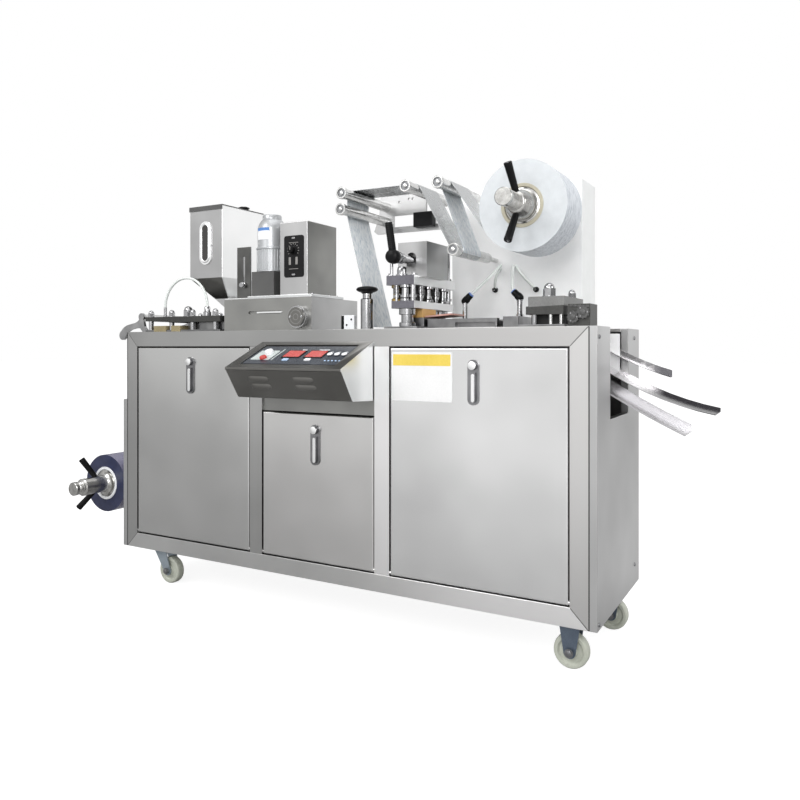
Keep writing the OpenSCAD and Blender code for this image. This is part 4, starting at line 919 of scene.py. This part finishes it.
def curved_plate(form, centre, radius, height, start, end, thick=0.6, steps=12):
    """Thin plate wrapped round an upright cylinder between two angles."""
    inner, outer = radius - 1.5, radius + thick
    rings = []
    for i in range(steps + 1):
        angle = start + (end - start) * i / steps
        section = ((inner, 0), (outer, 0), (outer, height), (inner, height))
        rings.append([form.verts.new(centre + round_point(r, angle, z)) for r, z in section])
    bridge(form, rings)
    close_ends(form, rings)


# Hopper: bead and dark pane of the level window, its rivets, and the lid's low handle
def build_hopper():
    low, high = limits("hopper_window")
    middle = (low + high) / 2
    face = on_face((middle.x, low.y, middle.z), FRONT)
    rim = bmesh.new()
    bead(rim, high.x - low.x - 16, high.z - low.z - 16, (high.x - low.x - 16) / 2 - 0.1, 3.4, face)
    piece("window_bead", rim, bright_steel, "machine")
    pane = bmesh.new()
    plate(pane, high.x - low.x - 19, high.z - low.z - 19, 1.2, face, (high.x - low.x - 19) / 2 - 0.1, 0.3)
    piece("window_pane", pane, dark_pane, "machine")
    rivets = bmesh.new()
    for side in (-1, 1):
        pan_head(rivets, on_face((middle.x + side * 24, low.y + 2.4, middle.z - 8), FRONT), 2.2, 1.6)
    piece("window_rivets", rivets, chrome, "machine")
    lid_high = limits("hopper_lid")[1]
    handle = bmesh.new()
    lathe(handle, [(0, -9), (7, -9), (14, -7), (17, -4.5), (16, -2), (9, -0.3), (0, 0)],
          Matrix.Translation((lid_high.x - 17, lid_high.y - 71, lid_high.z)), 32)
    piece("lid_handle", handle, black_plastic, "hopper_cover")


# Turned parts, which stand for the frame's coarser round nodes
def stand_for(node, name, form, material, body):
    """Piece that is shown in a CAD node's place."""
    made = piece(name, form, material, body)
    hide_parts(node)
    return made


def acorn(form, x, y, z, radius, height):
    """Domed hexagon nut on a thin washer."""
    place = Matrix.Translation((x, y, z))
    wide = radius * 1.15
    lathe(form, [(0, 0), (wide + 1.5, 0), (wide + 1.5, 1.2), (0, 1.2)], place, 28)
    waist = height - radius
    lathe(form, [(0, 1.0), (wide, 1.0), (wide, waist - 1), (wide * 0.9, waist), (0, waist)], place, 6)
    arc = [math.radians(a) for a in range(0, 90, 15)]
    dome = [(radius * math.cos(a), waist + radius * math.sin(a)) for a in arc]
    lathe(form, [(radius, waist - 0.5)] + dome + [(0, height)], place, 28)


def rod(form, x, y, z, radius, height, segments):
    """Plain round rod, closed at both ends."""
    lathe(form, [(0, 0), (radius, 0), (radius, height), (0, height)], Matrix.Translation((x, y, z)), segments)


def build_posts():
    posts = bmesh.new()
    for x, y in FORMING_POSTS:
        top = 752 if x < -600 else 747
        rod(posts, x, y, BED_Z, 7.2, top - BED_Z, 28)
        acorn(posts, x, y, HEATER_TOP, *SMALL_NUT)
    tall = SEAL_GAP[1] - SEAL_GAP[0]
    for x, y, radius in SEALING_POSTS:
        collar = radius + 3
        lathe(posts, [(0, 0), (radius, 0), (radius, 8), (collar, 8.4), (collar, 14.6), (radius, 15),
                      (radius, tall), (0, tall)], Matrix.Translation((x, y, SEAL_GAP[0])), 28)
    for x, y in PILLARS:
        lathe(posts, [(0, 0), (19, 0), (20, 1), (20, 9), (19, 10), (15, 10.4), (15, 27.6), (19.5, 28),
                      (20.5, 29), (20.5, 42), (19.5, 43), (0, 43)], Matrix.Translation((x, y, BED_Z)), 44)
    for x, y, radius, height in SEALING_RODS:
        lathe(posts, [(0, 0), (radius, 0), (radius, height - 1), (radius - 1, height), (0, height)],
              Matrix.Translation((x, y, SEAL_TOP)), 20)
    for x, y in PUNCH_POSTS:
        rod(posts, x, y, BED_Z, 6.3, 21, 24)
    for x, y, z, nut in LOOSE_NUTS:
        acorn(posts, x, y, z, *nut)
    lathe(posts, [(0, 0), (16, 0), (16, 74), (14, 76), (11, 76.5), (11, 88), (0, 88)],
          Matrix.Translation((COLUMN[0], COLUMN[1], TABLE_Z)), 48)
    stand_for("guide_posts", "posts_and_nuts", posts, chrome, "machine")
    knob = bmesh.new()
    lathe(knob, [(0, 0), (12, 0), (15, 3), (20, 4.6), (25, 7), (27, 9.5), (26.6, 12), (23, 15.4), (12, 18),
                 (0, 18.5)], Matrix.Translation((COLUMN[0], COLUMN[1], TABLE_Z + 88)), 48)
    stand_for("clamp_knob", "mushroom_knob", knob, black_plastic, "machine")


def build_rollers():
    rollers = bmesh.new()
    recess_shade = bmesh.new()
    for x, z, front, back in ROLLERS:
        place = on_face((x, front, z), FRONT)
        length = back - front
        covered = min(back, ROLLER_PLATE_Y) - front
        lathe(rollers, [(0, -length), (6, -length), (6, -covered), (13, -covered), (13, -9.5), (15, -9),
                        (15, -1), (14, 0), (11.2, 0), (10.4, -3), (5.4, -3), (5, 0), (3.8, 0.6), (0, 0.6)],
              place, 48)
        # A dark ring laid over the floor of each end's recess: painted shade.
        lathe(recess_shade, [(10.3, -2.6), (5.5, -2.6)], place, 40)
    for x, z in ARM_ROLLERS:
        place = on_face((x, -96, z), FRONT)
        lathe(rollers, [(0, 0), (8, 0), (8, -192), (0, -192)], place, 32)
    stand_for("guide_rollers", "turned_rollers", rollers, roller_steel, "machine")
    piece("roller_recess_shade", recess_shade, dark_steel, "machine")


# Reels: spindle, clamp nut, core ring and handles
# Turned outlines from the roll's face outwards: radius and distance
FOIL_NUT = (
    (41, -18), (41, -1), (37, 0), (36.5, 3), (35, 4), (34.5, 11), (33, 12), (31, 20), (30, 21), (27.5, 30),
    (26.5, 31), (24, 40), (22, 42), (20, 43),
)
FILM_NUT = (
    (41, -18), (41, -1), (34, 0), (34, 6), (30, 8), (26, 12), (25, 22), (24.5, 74), (25.6, 75), (25.6, 84),
    (23, 86), (18, 87),
)
THREAD_ROOT = 17.0
THREAD_CREST = 19.2
THREAD_PITCH = 5.0
SPINDLE_CAP = 20.0


def build_reel(name, body, angles, nut, core_material):
    roll_low, roll_high = limits(name + "_roll")
    spindle_low, spindle_high = limits(name + "_spindle")
    centre = (roll_low + roll_high) / 2
    face_y = roll_low.y
    along = on_face((centre.x, face_y, centre.z), FRONT)
    reach = face_y - spindle_low.y
    tail = face_y - spindle_high.y
    shoulder = 20 - (roll_high.y - face_y)
    outline = [(0, tail), (17, tail), (17, shoulder), (41, shoulder)] + list(nut)
    rise = nut[-1][1] + 1
    while rise < reach - 18:
        outline += [(THREAD_ROOT, rise), (THREAD_CREST, rise + 1.6), (THREAD_CREST, rise + 2.6),
                    (THREAD_ROOT, rise + 4.2)]
        rise += THREAD_PITCH
    outline += [(16, reach - 13), (16, reach - 11), (SPINDLE_CAP, reach - 10.5), (SPINDLE_CAP, reach - 1.5),
                (SPINDLE_CAP - 1.5, reach), (0, reach)]
    spindle = bmesh.new()
    lathe(spindle, outline, along, 48)
    stand_for(name + "_spindle", name + "_spindle_turned", spindle, machined_bright, body)
    core = bmesh.new()
    inside = CORE_RADIUS - 8.2
    lathe(core, [(inside, -30), (inside, 0.8), (inside + 1, 1.6), (CORE_RADIUS - 1, 1.6), (CORE_RADIUS, 0.8),
                 (CORE_RADIUS, -0.4)], along, 64)
    piece(name + "_core", core, core_material, body)
    grips = bmesh.new()
    tips = bmesh.new()
    for degrees in angles:
        angle = math.radians(degrees)
        flat = Vector((math.cos(angle), 0, math.sin(angle)))
        way = flat * math.cos(HANDLE_LEAN) + Vector((0, -1, 0)) * math.sin(HANDLE_LEAN)
        side = Vector((-math.sin(angle), 0, math.cos(angle)))
        start = Vector((centre.x, face_y - HANDLE_BACK, centre.z)) + way * HANDLE_START
        place = on_face(start, (side, way.cross(side)))
        end = HANDLE_LENGTH
        lathe(grips, [(0, 0), (7.5, 0), (7.6, 4), (9.2, end - 8), (9.5, end - 2), (8.6, end), (6.6, end),
                      (6.4, end - 2)], place, 32)
        lathe(tips, [(6.4, end - 2.5), (5.6, end - 0.6), (2.6, end - 0.4), (2.2, end - 1.6), (0, end - 1.6)],
              place, 24)
    stand_for(name + "_handles", name + "_handle_grips", grips, black_plastic, body)
    piece(name + "_handle_tips", tips, chrome, body)


# Sealing station: springs, bushes and core between its plates, and nuts on top
# Places on the plates: distance from their left edge, and Y
SPRINGS = ((23, -102), (67, -62), (67, 20))
COLLARS = ((46, -101), (67, -22), (67, 60))
BUSH = (19, -94)
PLATE_BOLTS = ((6, -104), (67, -101), (67, 100))
# Thickness of the plates
LOWER_PLATE = 18
UPPER_PLATE = 23


def build_sealing():
    plate_low, plate_high = limits("sealing_plates")
    coils = bmesh.new()
    bushes = bmesh.new()
    gap_low = plate_low.z + LOWER_PLATE
    gap_high = plate_high.z - UPPER_PLATE
    for dx, y in SPRINGS:
        place = Matrix.Translation((plate_low.x + dx, y, gap_low + 16))
        spring(coils, place, 8.0, 1.3, gap_high - gap_low - 17, 6)
    collars = bmesh.new()
    for form, spots in ((collars, COLLARS), (bushes, (BUSH,))):
        for dx, y in spots:
            place = Matrix.Translation((plate_low.x + dx, y, gap_low))
            lathe(form, [(13, 0), (13, 5), (12, 6), (10, 7.5)], place, 32)
            lathe(form, [(10, 31), (12, 32), (13, 33), (13, 38)], place, 32)
    lathe(bushes, [(9, 6), (9, 32)], Matrix.Translation((plate_low.x + BUSH[0], BUSH[1], gap_low)), 28)
    piece("sealing_springs", coils, chrome, "machine")
    piece("guide_bushes", bushes, brass, "machine")
    piece("guide_collars", collars, chrome, "machine")
    core = bmesh.new()
    plate(core, 46, 180, gap_high - gap_low, on_face((plate_low.x + 31, 8, gap_low), TOP), 3.0, 0.1)
    piece("sealing_core", core, black_paint, "machine")
    nut = bmesh.new()
    place = Matrix.Translation((plate_low.x + 34, -96, plate_high.z))
    lathe(nut, [(15, 0), (15, 3), (12, 4), (12, 14), (10.5, 20), (6, 24), (0, 25.5)], place, 32)
    for dx, y in PLATE_BOLTS:
        hex_bolt(nut, Matrix.Translation((plate_low.x + dx, y, plate_high.z)), 5.5, 6.0)
    piece("sealing_nuts", nut, chrome, "machine")


# Cam lever: turned shaft, boss, ribbed grip and its cap
LEVER_LEAN = math.radians(9)


def build_lever():
    shaft_low, shaft_high = limits("cam_shaft")
    way = Vector((-math.sin(LEVER_LEAN), 0, math.cos(LEVER_LEAN)))
    side = Vector((0, 1, 0))
    centre = Vector(((shaft_low.x + shaft_high.x) / 2, shaft_low.y + 14, shaft_low.z + 17))
    along = on_face((centre.x, shaft_low.y, centre.z), FRONT)
    shaft = bmesh.new()
    lathe(shaft, [(0, -152), (10, -152), (10, -50), (13.8, -49.5), (13.8, -38), (11, -37.5), (11, -34),
                  (13.8, -33.5), (13.8, -26), (0, -26)], along, 40)
    stand_for("cam_shaft", "cam_shaft_turned", shaft, chrome, "cam_lever")
    boss = bmesh.new()
    lathe(boss, [(0, -26), (13, -26), (15.5, -23), (16.5, -19), (16.5, -8), (15, -3), (11, -0.5), (0, 0)],
          along, 40)
    piece("lever_boss", boss, black_plastic, "cam_lever")
    stem = on_face(centre, (side, way.cross(side)))
    grip = bmesh.new()
    outline = [(0, 13), (8.6, 13)]
    for rise in range(16, 76, 5):
        outline += [(8.6, rise), (9, rise + 0.7), (9, rise + 3.6), (8.6, rise + 4.3)]
    lathe(grip, outline + [(8.8, 77), (8.6, 79.4), (6, 79.6)], stem, 32)
    stand_for("cam_grip", "lever_grip", grip, black_plastic, "cam_lever")
    cap = bmesh.new()
    lathe(cap, [(7.6, 77), (7.6, 80), (6.4, 81.4), (3, 82), (0, 82)], stem, 28)
    piece("lever_cap", cap, chrome, "cam_lever")


# Punch: the strip that leads to it, a die under its plates coloured near black as painted shade, and two
# bright posts in front
STRIP_RISE = math.radians(-4)
PUNCH_FRONT_POSTS = (594.0, 617.0)


def build_punch():
    strip = bmesh.new()
    rise = Matrix.Translation((266, -16, 748)) @ Matrix.Rotation(STRIP_RISE, 4, "Y")
    plate(strip, 70, 90, 4.0, rise @ Matrix.Translation((35, 0, 0)), 1.0, 0.4)
    piece("track_strip", strip, red_strip, "machine")
    low, high = limits("punch_plates")
    size = high - low
    centre = (low + high) / 2
    tall = low.z - BED_Z
    # The die is coloured near black as painted shade under the plates.
    die = bmesh.new()
    plate(die, size.x - 6, size.y - 30, tall - 0.1, on_face((centre.x, centre.y + 12, BED_Z), TOP), 2.0, 0.3)
    piece("punch_die", die, seam_and_shade_black, "machine")
    pillars = bmesh.new()
    for x in PUNCH_FRONT_POSTS:
        rod(pillars, x, low.y + 9, BED_Z, 4.5, tall, 24)
    piece("punch_front_posts", pillars, roller_steel, "machine")


# Chain: toothed wheels, link plates and bright pins on the front of its guard
TOOTH_STEPS = 36
WHEEL_PINS = 3
LINKS = 5


def build_chain():
    low, high = limits("drive_chain")
    wheels = bmesh.new()
    pins = bmesh.new()
    for x, z, radius in ((low.x + 12, TABLE_Z + 20, 12), (high.x - 14, TABLE_Z + 30, 13)):
        place = on_face((x, low.y, z), FRONT)
        teeth = []
        for i in range(TOOTH_STEPS):
            reach = radius + (1.8 if i % 3 == 0 else -0.6)
            teeth.append(round_point(reach, math.tau * i / TOOTH_STEPS))
        stack(wheels, [(teeth, 0.0), (teeth, 2.4)], place)
        lathe(wheels, [(6, 2.4), (6, 4.4), (5, 5), (0, 5)], place, 24)
        for i in range(WHEEL_PINS):
            turn = Matrix.Rotation(math.tau * i / WHEEL_PINS, 4, "Z")
            spot = place @ turn @ Matrix.Translation((radius - 3.2, 0, 2.4))
            lathe(pins, [(1.7, 0), (1.7, 1.0), (1.2, 1.4), (0, 1.4)], spot, 12)
    for i in range(LINKS):
        spot = on_face((low.x + 7 + 8.5 * i, low.y + 5, TABLE_Z + 44 - 0.6 * i), FRONT)
        plate(wheels, 8, 5.5, 1.6, spot, 2.6, 0.4)
        lathe(wheels, [(1.6, 1.6), (1.6, 2.6), (0, 3.0)], spot, 12)
    piece("chain_wheels", wheels, gearbox_paint, "machine")
    piece("chain_pins", pins, chrome, "machine")


# Air lines: fittings with blue release rings, hoses and black plugs at the wall
ARCH_CENTRE = (-485.02, -98, 792)
ARCH_RADIUS = 82.07
ARCH_STEPS = 40
HOSE_RADIUS = 3.5
HOSE_STEPS = 24


def air_line(start, end, bow, sag):
    """Points of a short hose: a cubic curve that bows towards the operator."""
    p, q = Vector(start), Vector(end)
    pull = Vector((0, bow, sag))
    near = p + (q - p) / 3 - pull
    far = p + (q - p) * 2 / 3 - pull
    points = []
    for i in range(HOSE_STEPS + 1):
        t = i / HOSE_STEPS
        points.append(p * (1 - t) ** 3 + near * 3 * t * (1 - t) ** 2 + far * 3 * t * t * (1 - t) + q * t ** 3)
    return points


def build_air_lines():
    stems = bmesh.new()
    bodies = bmesh.new()
    rings = bmesh.new()
    ends = []
    for (x, y, z), foot, side in STEMS:
        way = Vector((side * math.sin(FITTING_TILT), 0, math.cos(FITTING_TILT)))
        across = Vector((0, 1, 0))
        top = Vector((x, y, z))
        place = on_face(top, (across, way.cross(across)))
        tall = z - foot
        lathe(stems, [(0, 0), (8.5, 0), (8.5, 7), (6.4, 8), (6.4, tall - 8), (7.6, tall - 7), (7.6, tall - 2),
                      (0, tall - 2)], Matrix.Translation((x, y, foot)), 28)
        lathe(bodies, [(0, -9), (5, -8), (8, -5), (9.4, 0), (9.4, 8), (8.4, 9), (8.4, 20),
                       (6.6, FITTING_LENGTH - 1.5), (0, 22.5)], place, 28)
        lathe(rings, [(6.4, 20.5), (7.4, 21), (7.4, 23.5), (6, FITTING_LENGTH), (0, FITTING_LENGTH)],
              place, 24)
        ends.append(top + way * FITTING_LENGTH)
    x, y, z = ARCH_CENTRE
    lathe(stems, [(0, 0), (6, 0), (6, 5), (4.4, 6), (4.4, 28), (0, 28)],
          Matrix.Translation((x - ARCH_RADIUS, y, HEATER_TOP)), 24)
    lathe(stems, [(0, 0), (11, 0), (11, 11), (9.5, 12), (8, 13), (8, 24), (5, 28), (0, 28)],
          Matrix.Translation((x + ARCH_RADIUS, y, HEATER_TOP)), 24)
    stand_for("air_fittings", "fitting_bodies", bodies, black_plastic, "machine")
    piece("fitting_stems", stems, chrome, "machine")
    piece("fitting_release_rings", rings, blue_plastic, "machine")
    hoses = bmesh.new()
    arch = []
    for i in range(ARCH_STEPS + 1):
        angle = math.pi * i / ARCH_STEPS
        arch.append(Vector((x + ARCH_RADIUS * math.cos(angle), y, z + ARCH_RADIUS * math.sin(angle))))
    tube(hoses, arch, HOSE_RADIUS, 14)
    lines = (
        ((369.5, UPRIGHT_Y, 891), ends[0], 8, 6), ((368.5, UPRIGHT_Y, 881), (354.5, UPRIGHT_Y, 827), 24, 0),
        ((404.5, UPRIGHT_Y, 888), ends[1], 8, 4), ((411.5, UPRIGHT_Y, 887), (466.5, UPRIGHT_Y, 824), 24, 0),
    )
    for line in lines:
        tube(hoses, air_line(*line), HOSE_RADIUS * 0.98, 12)
    stand_for("air_hoses", "clear_hoses", hoses, clear_hose, "machine")
    plugs = bmesh.new()
    for x, z in WALL_PLUGS:
        place = on_face((x, UPRIGHT_Y, z), FRONT)
        lathe(plugs, [(7, 0), (7, 3), (5.5, 4), (5.5, 11), (4.6, 12.5), (3.4, 12.5)], place, 24)
    piece("wall_plugs", plugs, black_plastic, "machine")


# Panel locks: a rib down the bar and a button above it, in the near-white copy that is a painted highlight,
# each so far out from the panel
LOCK_BAR = 9.0
LOCK_BUTTON = 11.0


def build_locks():
    for side in ("left", "middle", "right"):
        low, high = limits(side + "_lock")
        middle = (low.x + high.x) / 2
        bright = bmesh.new()
        bar = on_face((middle + 1.5, high.y - LOCK_BAR, low.z + 38), FRONT)
        plate(bright, 8, 62, 1.2, bar, 3.8, 0.6)
        button = on_face((middle, high.y - LOCK_BUTTON, high.z - 13), FRONT)
        lathe(bright, [(9.6, 0), (9.2, 0.8), (6, 1.6), (0, 2)], button, 32)
        piece(side + "_lock_rib", bright, bright_steel, side + "_panel")


# Cabinet: screws, seams and mitre lines of its frame, and the outlet's inner wall
END_SCREWS = ((-145, 698), (186, 698), (190, 150), (-145, 112))
COVER_INSET = 14
MITRE = (40.0, 42.0)


def build_cabinet():
    end_low, end_high = limits("right_end_cover")
    screws = bmesh.new()
    for y, z in END_SCREWS:
        pan_head(screws, on_face((end_high.x, y, z), RIGHT), 4.5, 2.6)
    cover_low, cover_high = limits("left_end_cover")
    for y in (cover_low.y + COVER_INSET, cover_high.y - COVER_INSET):
        for z in (cover_low.z + COVER_INSET, cover_high.z - COVER_INSET):
            pan_head(screws, on_face((cover_low.x, y, z), LEFT), 4.5, 2.6)
    piece("cabinet_screws", screws, dark_steel, "machine")
    seams = bmesh.new()
    frame_low, frame_high = limits("front_rails")
    tall = frame_high.z - end_low.z - 2
    for x in (frame_low.x, frame_high.x):
        place = on_face((x, frame_low.y + 0.1, end_low.z + 1 + tall / 2), FRONT)
        plate(seams, 2.6, tall, 0.5, place, 0.8, 0.2)
    piece("frame_seams", seams, seam_and_shade_black, "machine")
    mitres = bmesh.new()
    run, rise = MITRE
    for x, side in ((frame_low.x, 1), (frame_high.x, -1)):
        for z, up in ((frame_low.z, 1), (frame_high.z, -1)):
            middle = (x + side * run / 2, frame_low.y + 0.1, z + up * rise / 2)
            place = on_face(middle, FRONT) @ Matrix.Rotation(math.atan2(rise * up, run * side), 4, "Z")
            plate(mitres, math.hypot(run, rise) - 3, 2.2, 0.3, place, 0.3, 0.1)
    piece("mitre_lines", mitres, punch_steel, "machine")
    liner = bmesh.new()
    plate(liner, 72, 92, 2.0, on_face((end_low.x - 38, 120, TABLE_Z - 58), FRONT), 1.0, 0.3)
    piece("outlet_back_wall", liner, white_paint, "machine")


# Trims: fronts of the forming boards, the guide block's trim and a plain card on the right door
CARD_X = 308.5
CARD_THICK = 0.6


def build_trims():
    board = bmesh.new()
    block_low = limits("insulation_blocks")[0]
    for x, wide in FORMING_BOARDS:
        plate(board, wide, 17, 1.0, on_face((x + wide / 2, block_low.y, TABLE_Z + 9), FRONT), 0.5, 0.2)
    piece("forming_board_fronts", board, tan_board, "machine")
    guide = bmesh.new()
    plate(guide, 8, 36, 0.8, on_face((31.7, GUIDE_BLOCK_Y, 739), FRONT), 0.6, 0.2)
    for x, z in ((44, 733), (58, 747)):
        pan_head(guide, on_face((x, GUIDE_BLOCK_Y, z), FRONT), 2.6, 1.6)
    piece("guide_block_trim", guide, black_plastic, "machine")
    door_low = limits("right_door")[0]
    card = bmesh.new()
    plate(card, 155, 112, CARD_THICK, on_face((CARD_X, door_low.y, 609), FRONT), 2.0, 0.2)
    piece("door_card", card, card_white, "right_panel")
    band = bmesh.new()
    plate(band, 147, 26, 0.3, on_face((CARD_X, door_low.y - CARD_THICK, 647), FRONT), 1.0, 0.1)
    piece("door_card_band", band, card_yellow, "right_panel")


def build_axle_nuts():
    """Hexagon nuts on both ends of the castors' axles."""
    for corner in ("front_right", "back_right", "front_left", "back_left"):
        wheel_low, wheel_high = limits("wheel_" + corner)
        centre = (wheel_low + wheel_high) / 2
        nuts = bmesh.new()
        for y, face in ((wheel_low.y, FRONT), (wheel_high.y, BACK)):
            hex_bolt(nuts, on_face((centre.x, y, centre.z), face), 7.0, 4.0)
        piece("axle_nuts_" + corner, nuts, dark_steel, corner + "_wheel")


# Studio: pale floor, white surround and soft lamps
FLOOR_REACH = 30.0
FLOOR_COLOUR = 0.33
FLOOR_GLOW_SEEN = 0.85
# The floor glows in mirrors beyond a slanting line in front of the machine, and less so behind it
FLOOR_GLOW_FRONT = 0.6
FLOOR_GLOW_BEHIND = 0.32
GLOW_LINE_SLANT = 0.57
GLOW_LINE_FROM = 0.6
GLOW_LINE_TO = 3.6
GLOW_BEHIND_TO = 0.6
SURROUND_LIGHT = 1.0
# Tone of the room in mirrors, by compass direction in degrees from +X
ROOM_TONES = (
    (-180, 0.45), (-150, 0.72), (-138, 0.8), (-126, 0.95), (-110, 1.0), (-60, 1.0), (-30, 0.4), (-5, 0.15),
    (12, 0.3), (34, 1.0), (90, 1.0), (120, 0.9), (145, 0.25), (180, 0.45),
)
MACHINE_MIDDLE = (0, 0, 0.6)
UPRIGHT_MIDDLE = (0.45, 0.17, 0.9)


def build_surround():
    """White all round for the eye and through glass; mirrors see a pale room whose side walls are darker."""
    world = bpy.data.worlds.new("white surround")
    world.use_nodes = True
    tree = world.node_tree
    tree.nodes.clear()
    rays = add(tree, "ShaderNodeLightPath")
    way = add(tree, "ShaderNodeTexCoord")
    axes = add(tree, "ShaderNodeSeparateXYZ", links={"Vector": way.outputs["Generated"]})
    compass = add(
        tree, "ShaderNodeMath", {"operation": "ARCTAN2"}, links={0: axes.outputs["Y"], 1: axes.outputs["X"]}
    )
    turn = add(
        tree, "ShaderNodeMapRange", values={"From Min": -math.pi, "From Max": math.pi},
        links={"Value": compass.outputs["Value"]},
    )
    room = add(tree, "ShaderNodeValToRGB", links={"Fac": turn.outputs["Result"]})
    for degrees, tone in ROOM_TONES[1:-1]:
        room.color_ramp.elements.new((degrees + 180) / 360).color = (tone, tone, tone, 1)
    for end, (_, tone) in ((0, ROOM_TONES[0]), (-1, ROOM_TONES[-1])):
        room.color_ramp.elements[end].color = (tone, tone, tone, 1)
    strength = add(
        tree, "ShaderNodeMix", {"data_type": "FLOAT"}, {2: SURROUND_LIGHT},
        {0: rays.outputs["Is Glossy Ray"], 3: room.outputs["Color"]},
    )
    back = add(
        tree, "ShaderNodeBackground", values={"Color": (1, 1, 1, 1)}, links={"Strength": strength.outputs[0]}
    )
    add(tree, "ShaderNodeOutputWorld", links={"Surface": back.outputs["Background"]})
    bpy.context.scene.world = world


def build_floor():
    """Grey floor that looks white to the eye and keeps the shadow; metal sees it greyer, most so close by."""
    mesh = bpy.data.meshes.new("floor")
    reach = FLOOR_REACH
    corners = [(-reach, -reach, 0), (reach, -reach, 0), (reach, reach, 0), (-reach, reach, 0)]
    mesh.from_pydata(corners, [], [(0, 1, 2, 3)])
    floor = bpy.data.objects.new("floor", mesh)
    bpy.context.scene.collection.objects.link(floor)
    material = bpy.data.materials.new("pale studio floor")
    material.use_nodes = True
    tree = material.node_tree
    tree.nodes.clear()
    grey = FLOOR_COLOUR
    matte = add(tree, "ShaderNodeBsdfDiffuse", values={"Color": (grey, grey, grey, 1)})
    rays = add(tree, "ShaderNodeLightPath")
    mirrored = add(
        tree, "ShaderNodeMath", {"operation": "MAXIMUM"},
        links={0: rays.outputs["Is Glossy Ray"], 1: rays.outputs["Is Transmission Ray"]},
    )
    spot = add(tree, "ShaderNodeNewGeometry")
    axes = add(tree, "ShaderNodeSeparateXYZ", links={"Vector": spot.outputs["Position"]})
    toward = add(tree, "ShaderNodeMath", {"operation": "MULTIPLY"}, {1: -1.0}, {0: axes.outputs["Y"]})
    ahead = add(
        tree, "ShaderNodeMath", {"operation": "MULTIPLY_ADD"}, {1: GLOW_LINE_SLANT},
        {0: axes.outputs["X"], 2: toward.outputs["Value"]},
    )
    front = add(
        tree, "ShaderNodeMapRange",
        values={"From Min": GLOW_LINE_FROM, "From Max": GLOW_LINE_TO, "To Max": FLOOR_GLOW_FRONT},
        links={"Value": ahead.outputs["Value"]},
    )
    behind = add(
        tree, "ShaderNodeMapRange", values={"From Max": GLOW_BEHIND_TO, "To Max": FLOOR_GLOW_BEHIND},
        links={"Value": axes.outputs["Y"]},
    )
    either = add(
        tree, "ShaderNodeMath", {"operation": "MAXIMUM"},
        links={0: front.outputs["Result"], 1: behind.outputs["Result"]},
    )
    in_mirror = add(
        tree, "ShaderNodeMath", {"operation": "MULTIPLY"},
        links={0: mirrored.outputs["Value"], 1: either.outputs["Value"]},
    )
    strength = add(
        tree, "ShaderNodeMath", {"operation": "MULTIPLY_ADD"}, {1: FLOOR_GLOW_SEEN},
        {0: rays.outputs["Is Camera Ray"], 2: in_mirror.outputs["Value"]},
    )
    glow = add(
        tree, "ShaderNodeEmission", values={"Color": (1, 1, 1, 1)},
        links={"Strength": strength.outputs["Value"]},
    )
    both = add(tree, "ShaderNodeAddShader", links={0: matte.outputs["BSDF"], 1: glow.outputs["Emission"]})
    add(tree, "ShaderNodeOutputMaterial", links={"Surface": both.outputs["Shader"]})
    mesh.materials.append(material)


def add_lamp(name, at, aim, size, watts):
    """Square soft lamp at a place, turned towards another; places and size in metres."""
    data = bpy.data.lights.new(name, "AREA")
    data.shape = "SQUARE"
    data.size = size
    data.energy = watts
    lamp = bpy.data.objects.new(name, data)
    lamp.location = at
    lamp.rotation_euler = (Vector(aim) - Vector(at)).to_track_quat("-Z", "Y").to_euler()
    bpy.context.scene.collection.objects.link(lamp)


def build_studio():
    build_surround()
    build_floor()
    add_lamp("key lamp", (-1.6, -3.2, 3.0), MACHINE_MIDDLE, 1.8, 50)
    add_lamp("fill lamp", (1.4, -3.6, 1.8), UPRIGHT_MIDDLE, 1.6, 45)
    add_lamp("top lamp", (0.5, -0.5, 3.6), MACHINE_MIDDLE, 2.5, 30)
    add_lamp("side lamp", (3.6, -0.6, 1.8), MACHINE_MIDDLE, 1.5, 26)


place_camera()
build_console()
build_feeder()
build_motor()
build_gate()
build_hopper()
build_posts()
build_locks()
build_rollers()
build_reel("foil", "foil_reel", (98, 262), FOIL_NUT, tan_card)
build_reel("film", "film_reel", (115, 235), FILM_NUT, white_plastic)
build_sealing()
build_lever()
build_punch()
build_chain()
build_air_lines()
build_cabinet()
build_trims()
build_axle_nuts()
build_studio()
bpy.context.scene.view_settings.view_transform = "Standard"
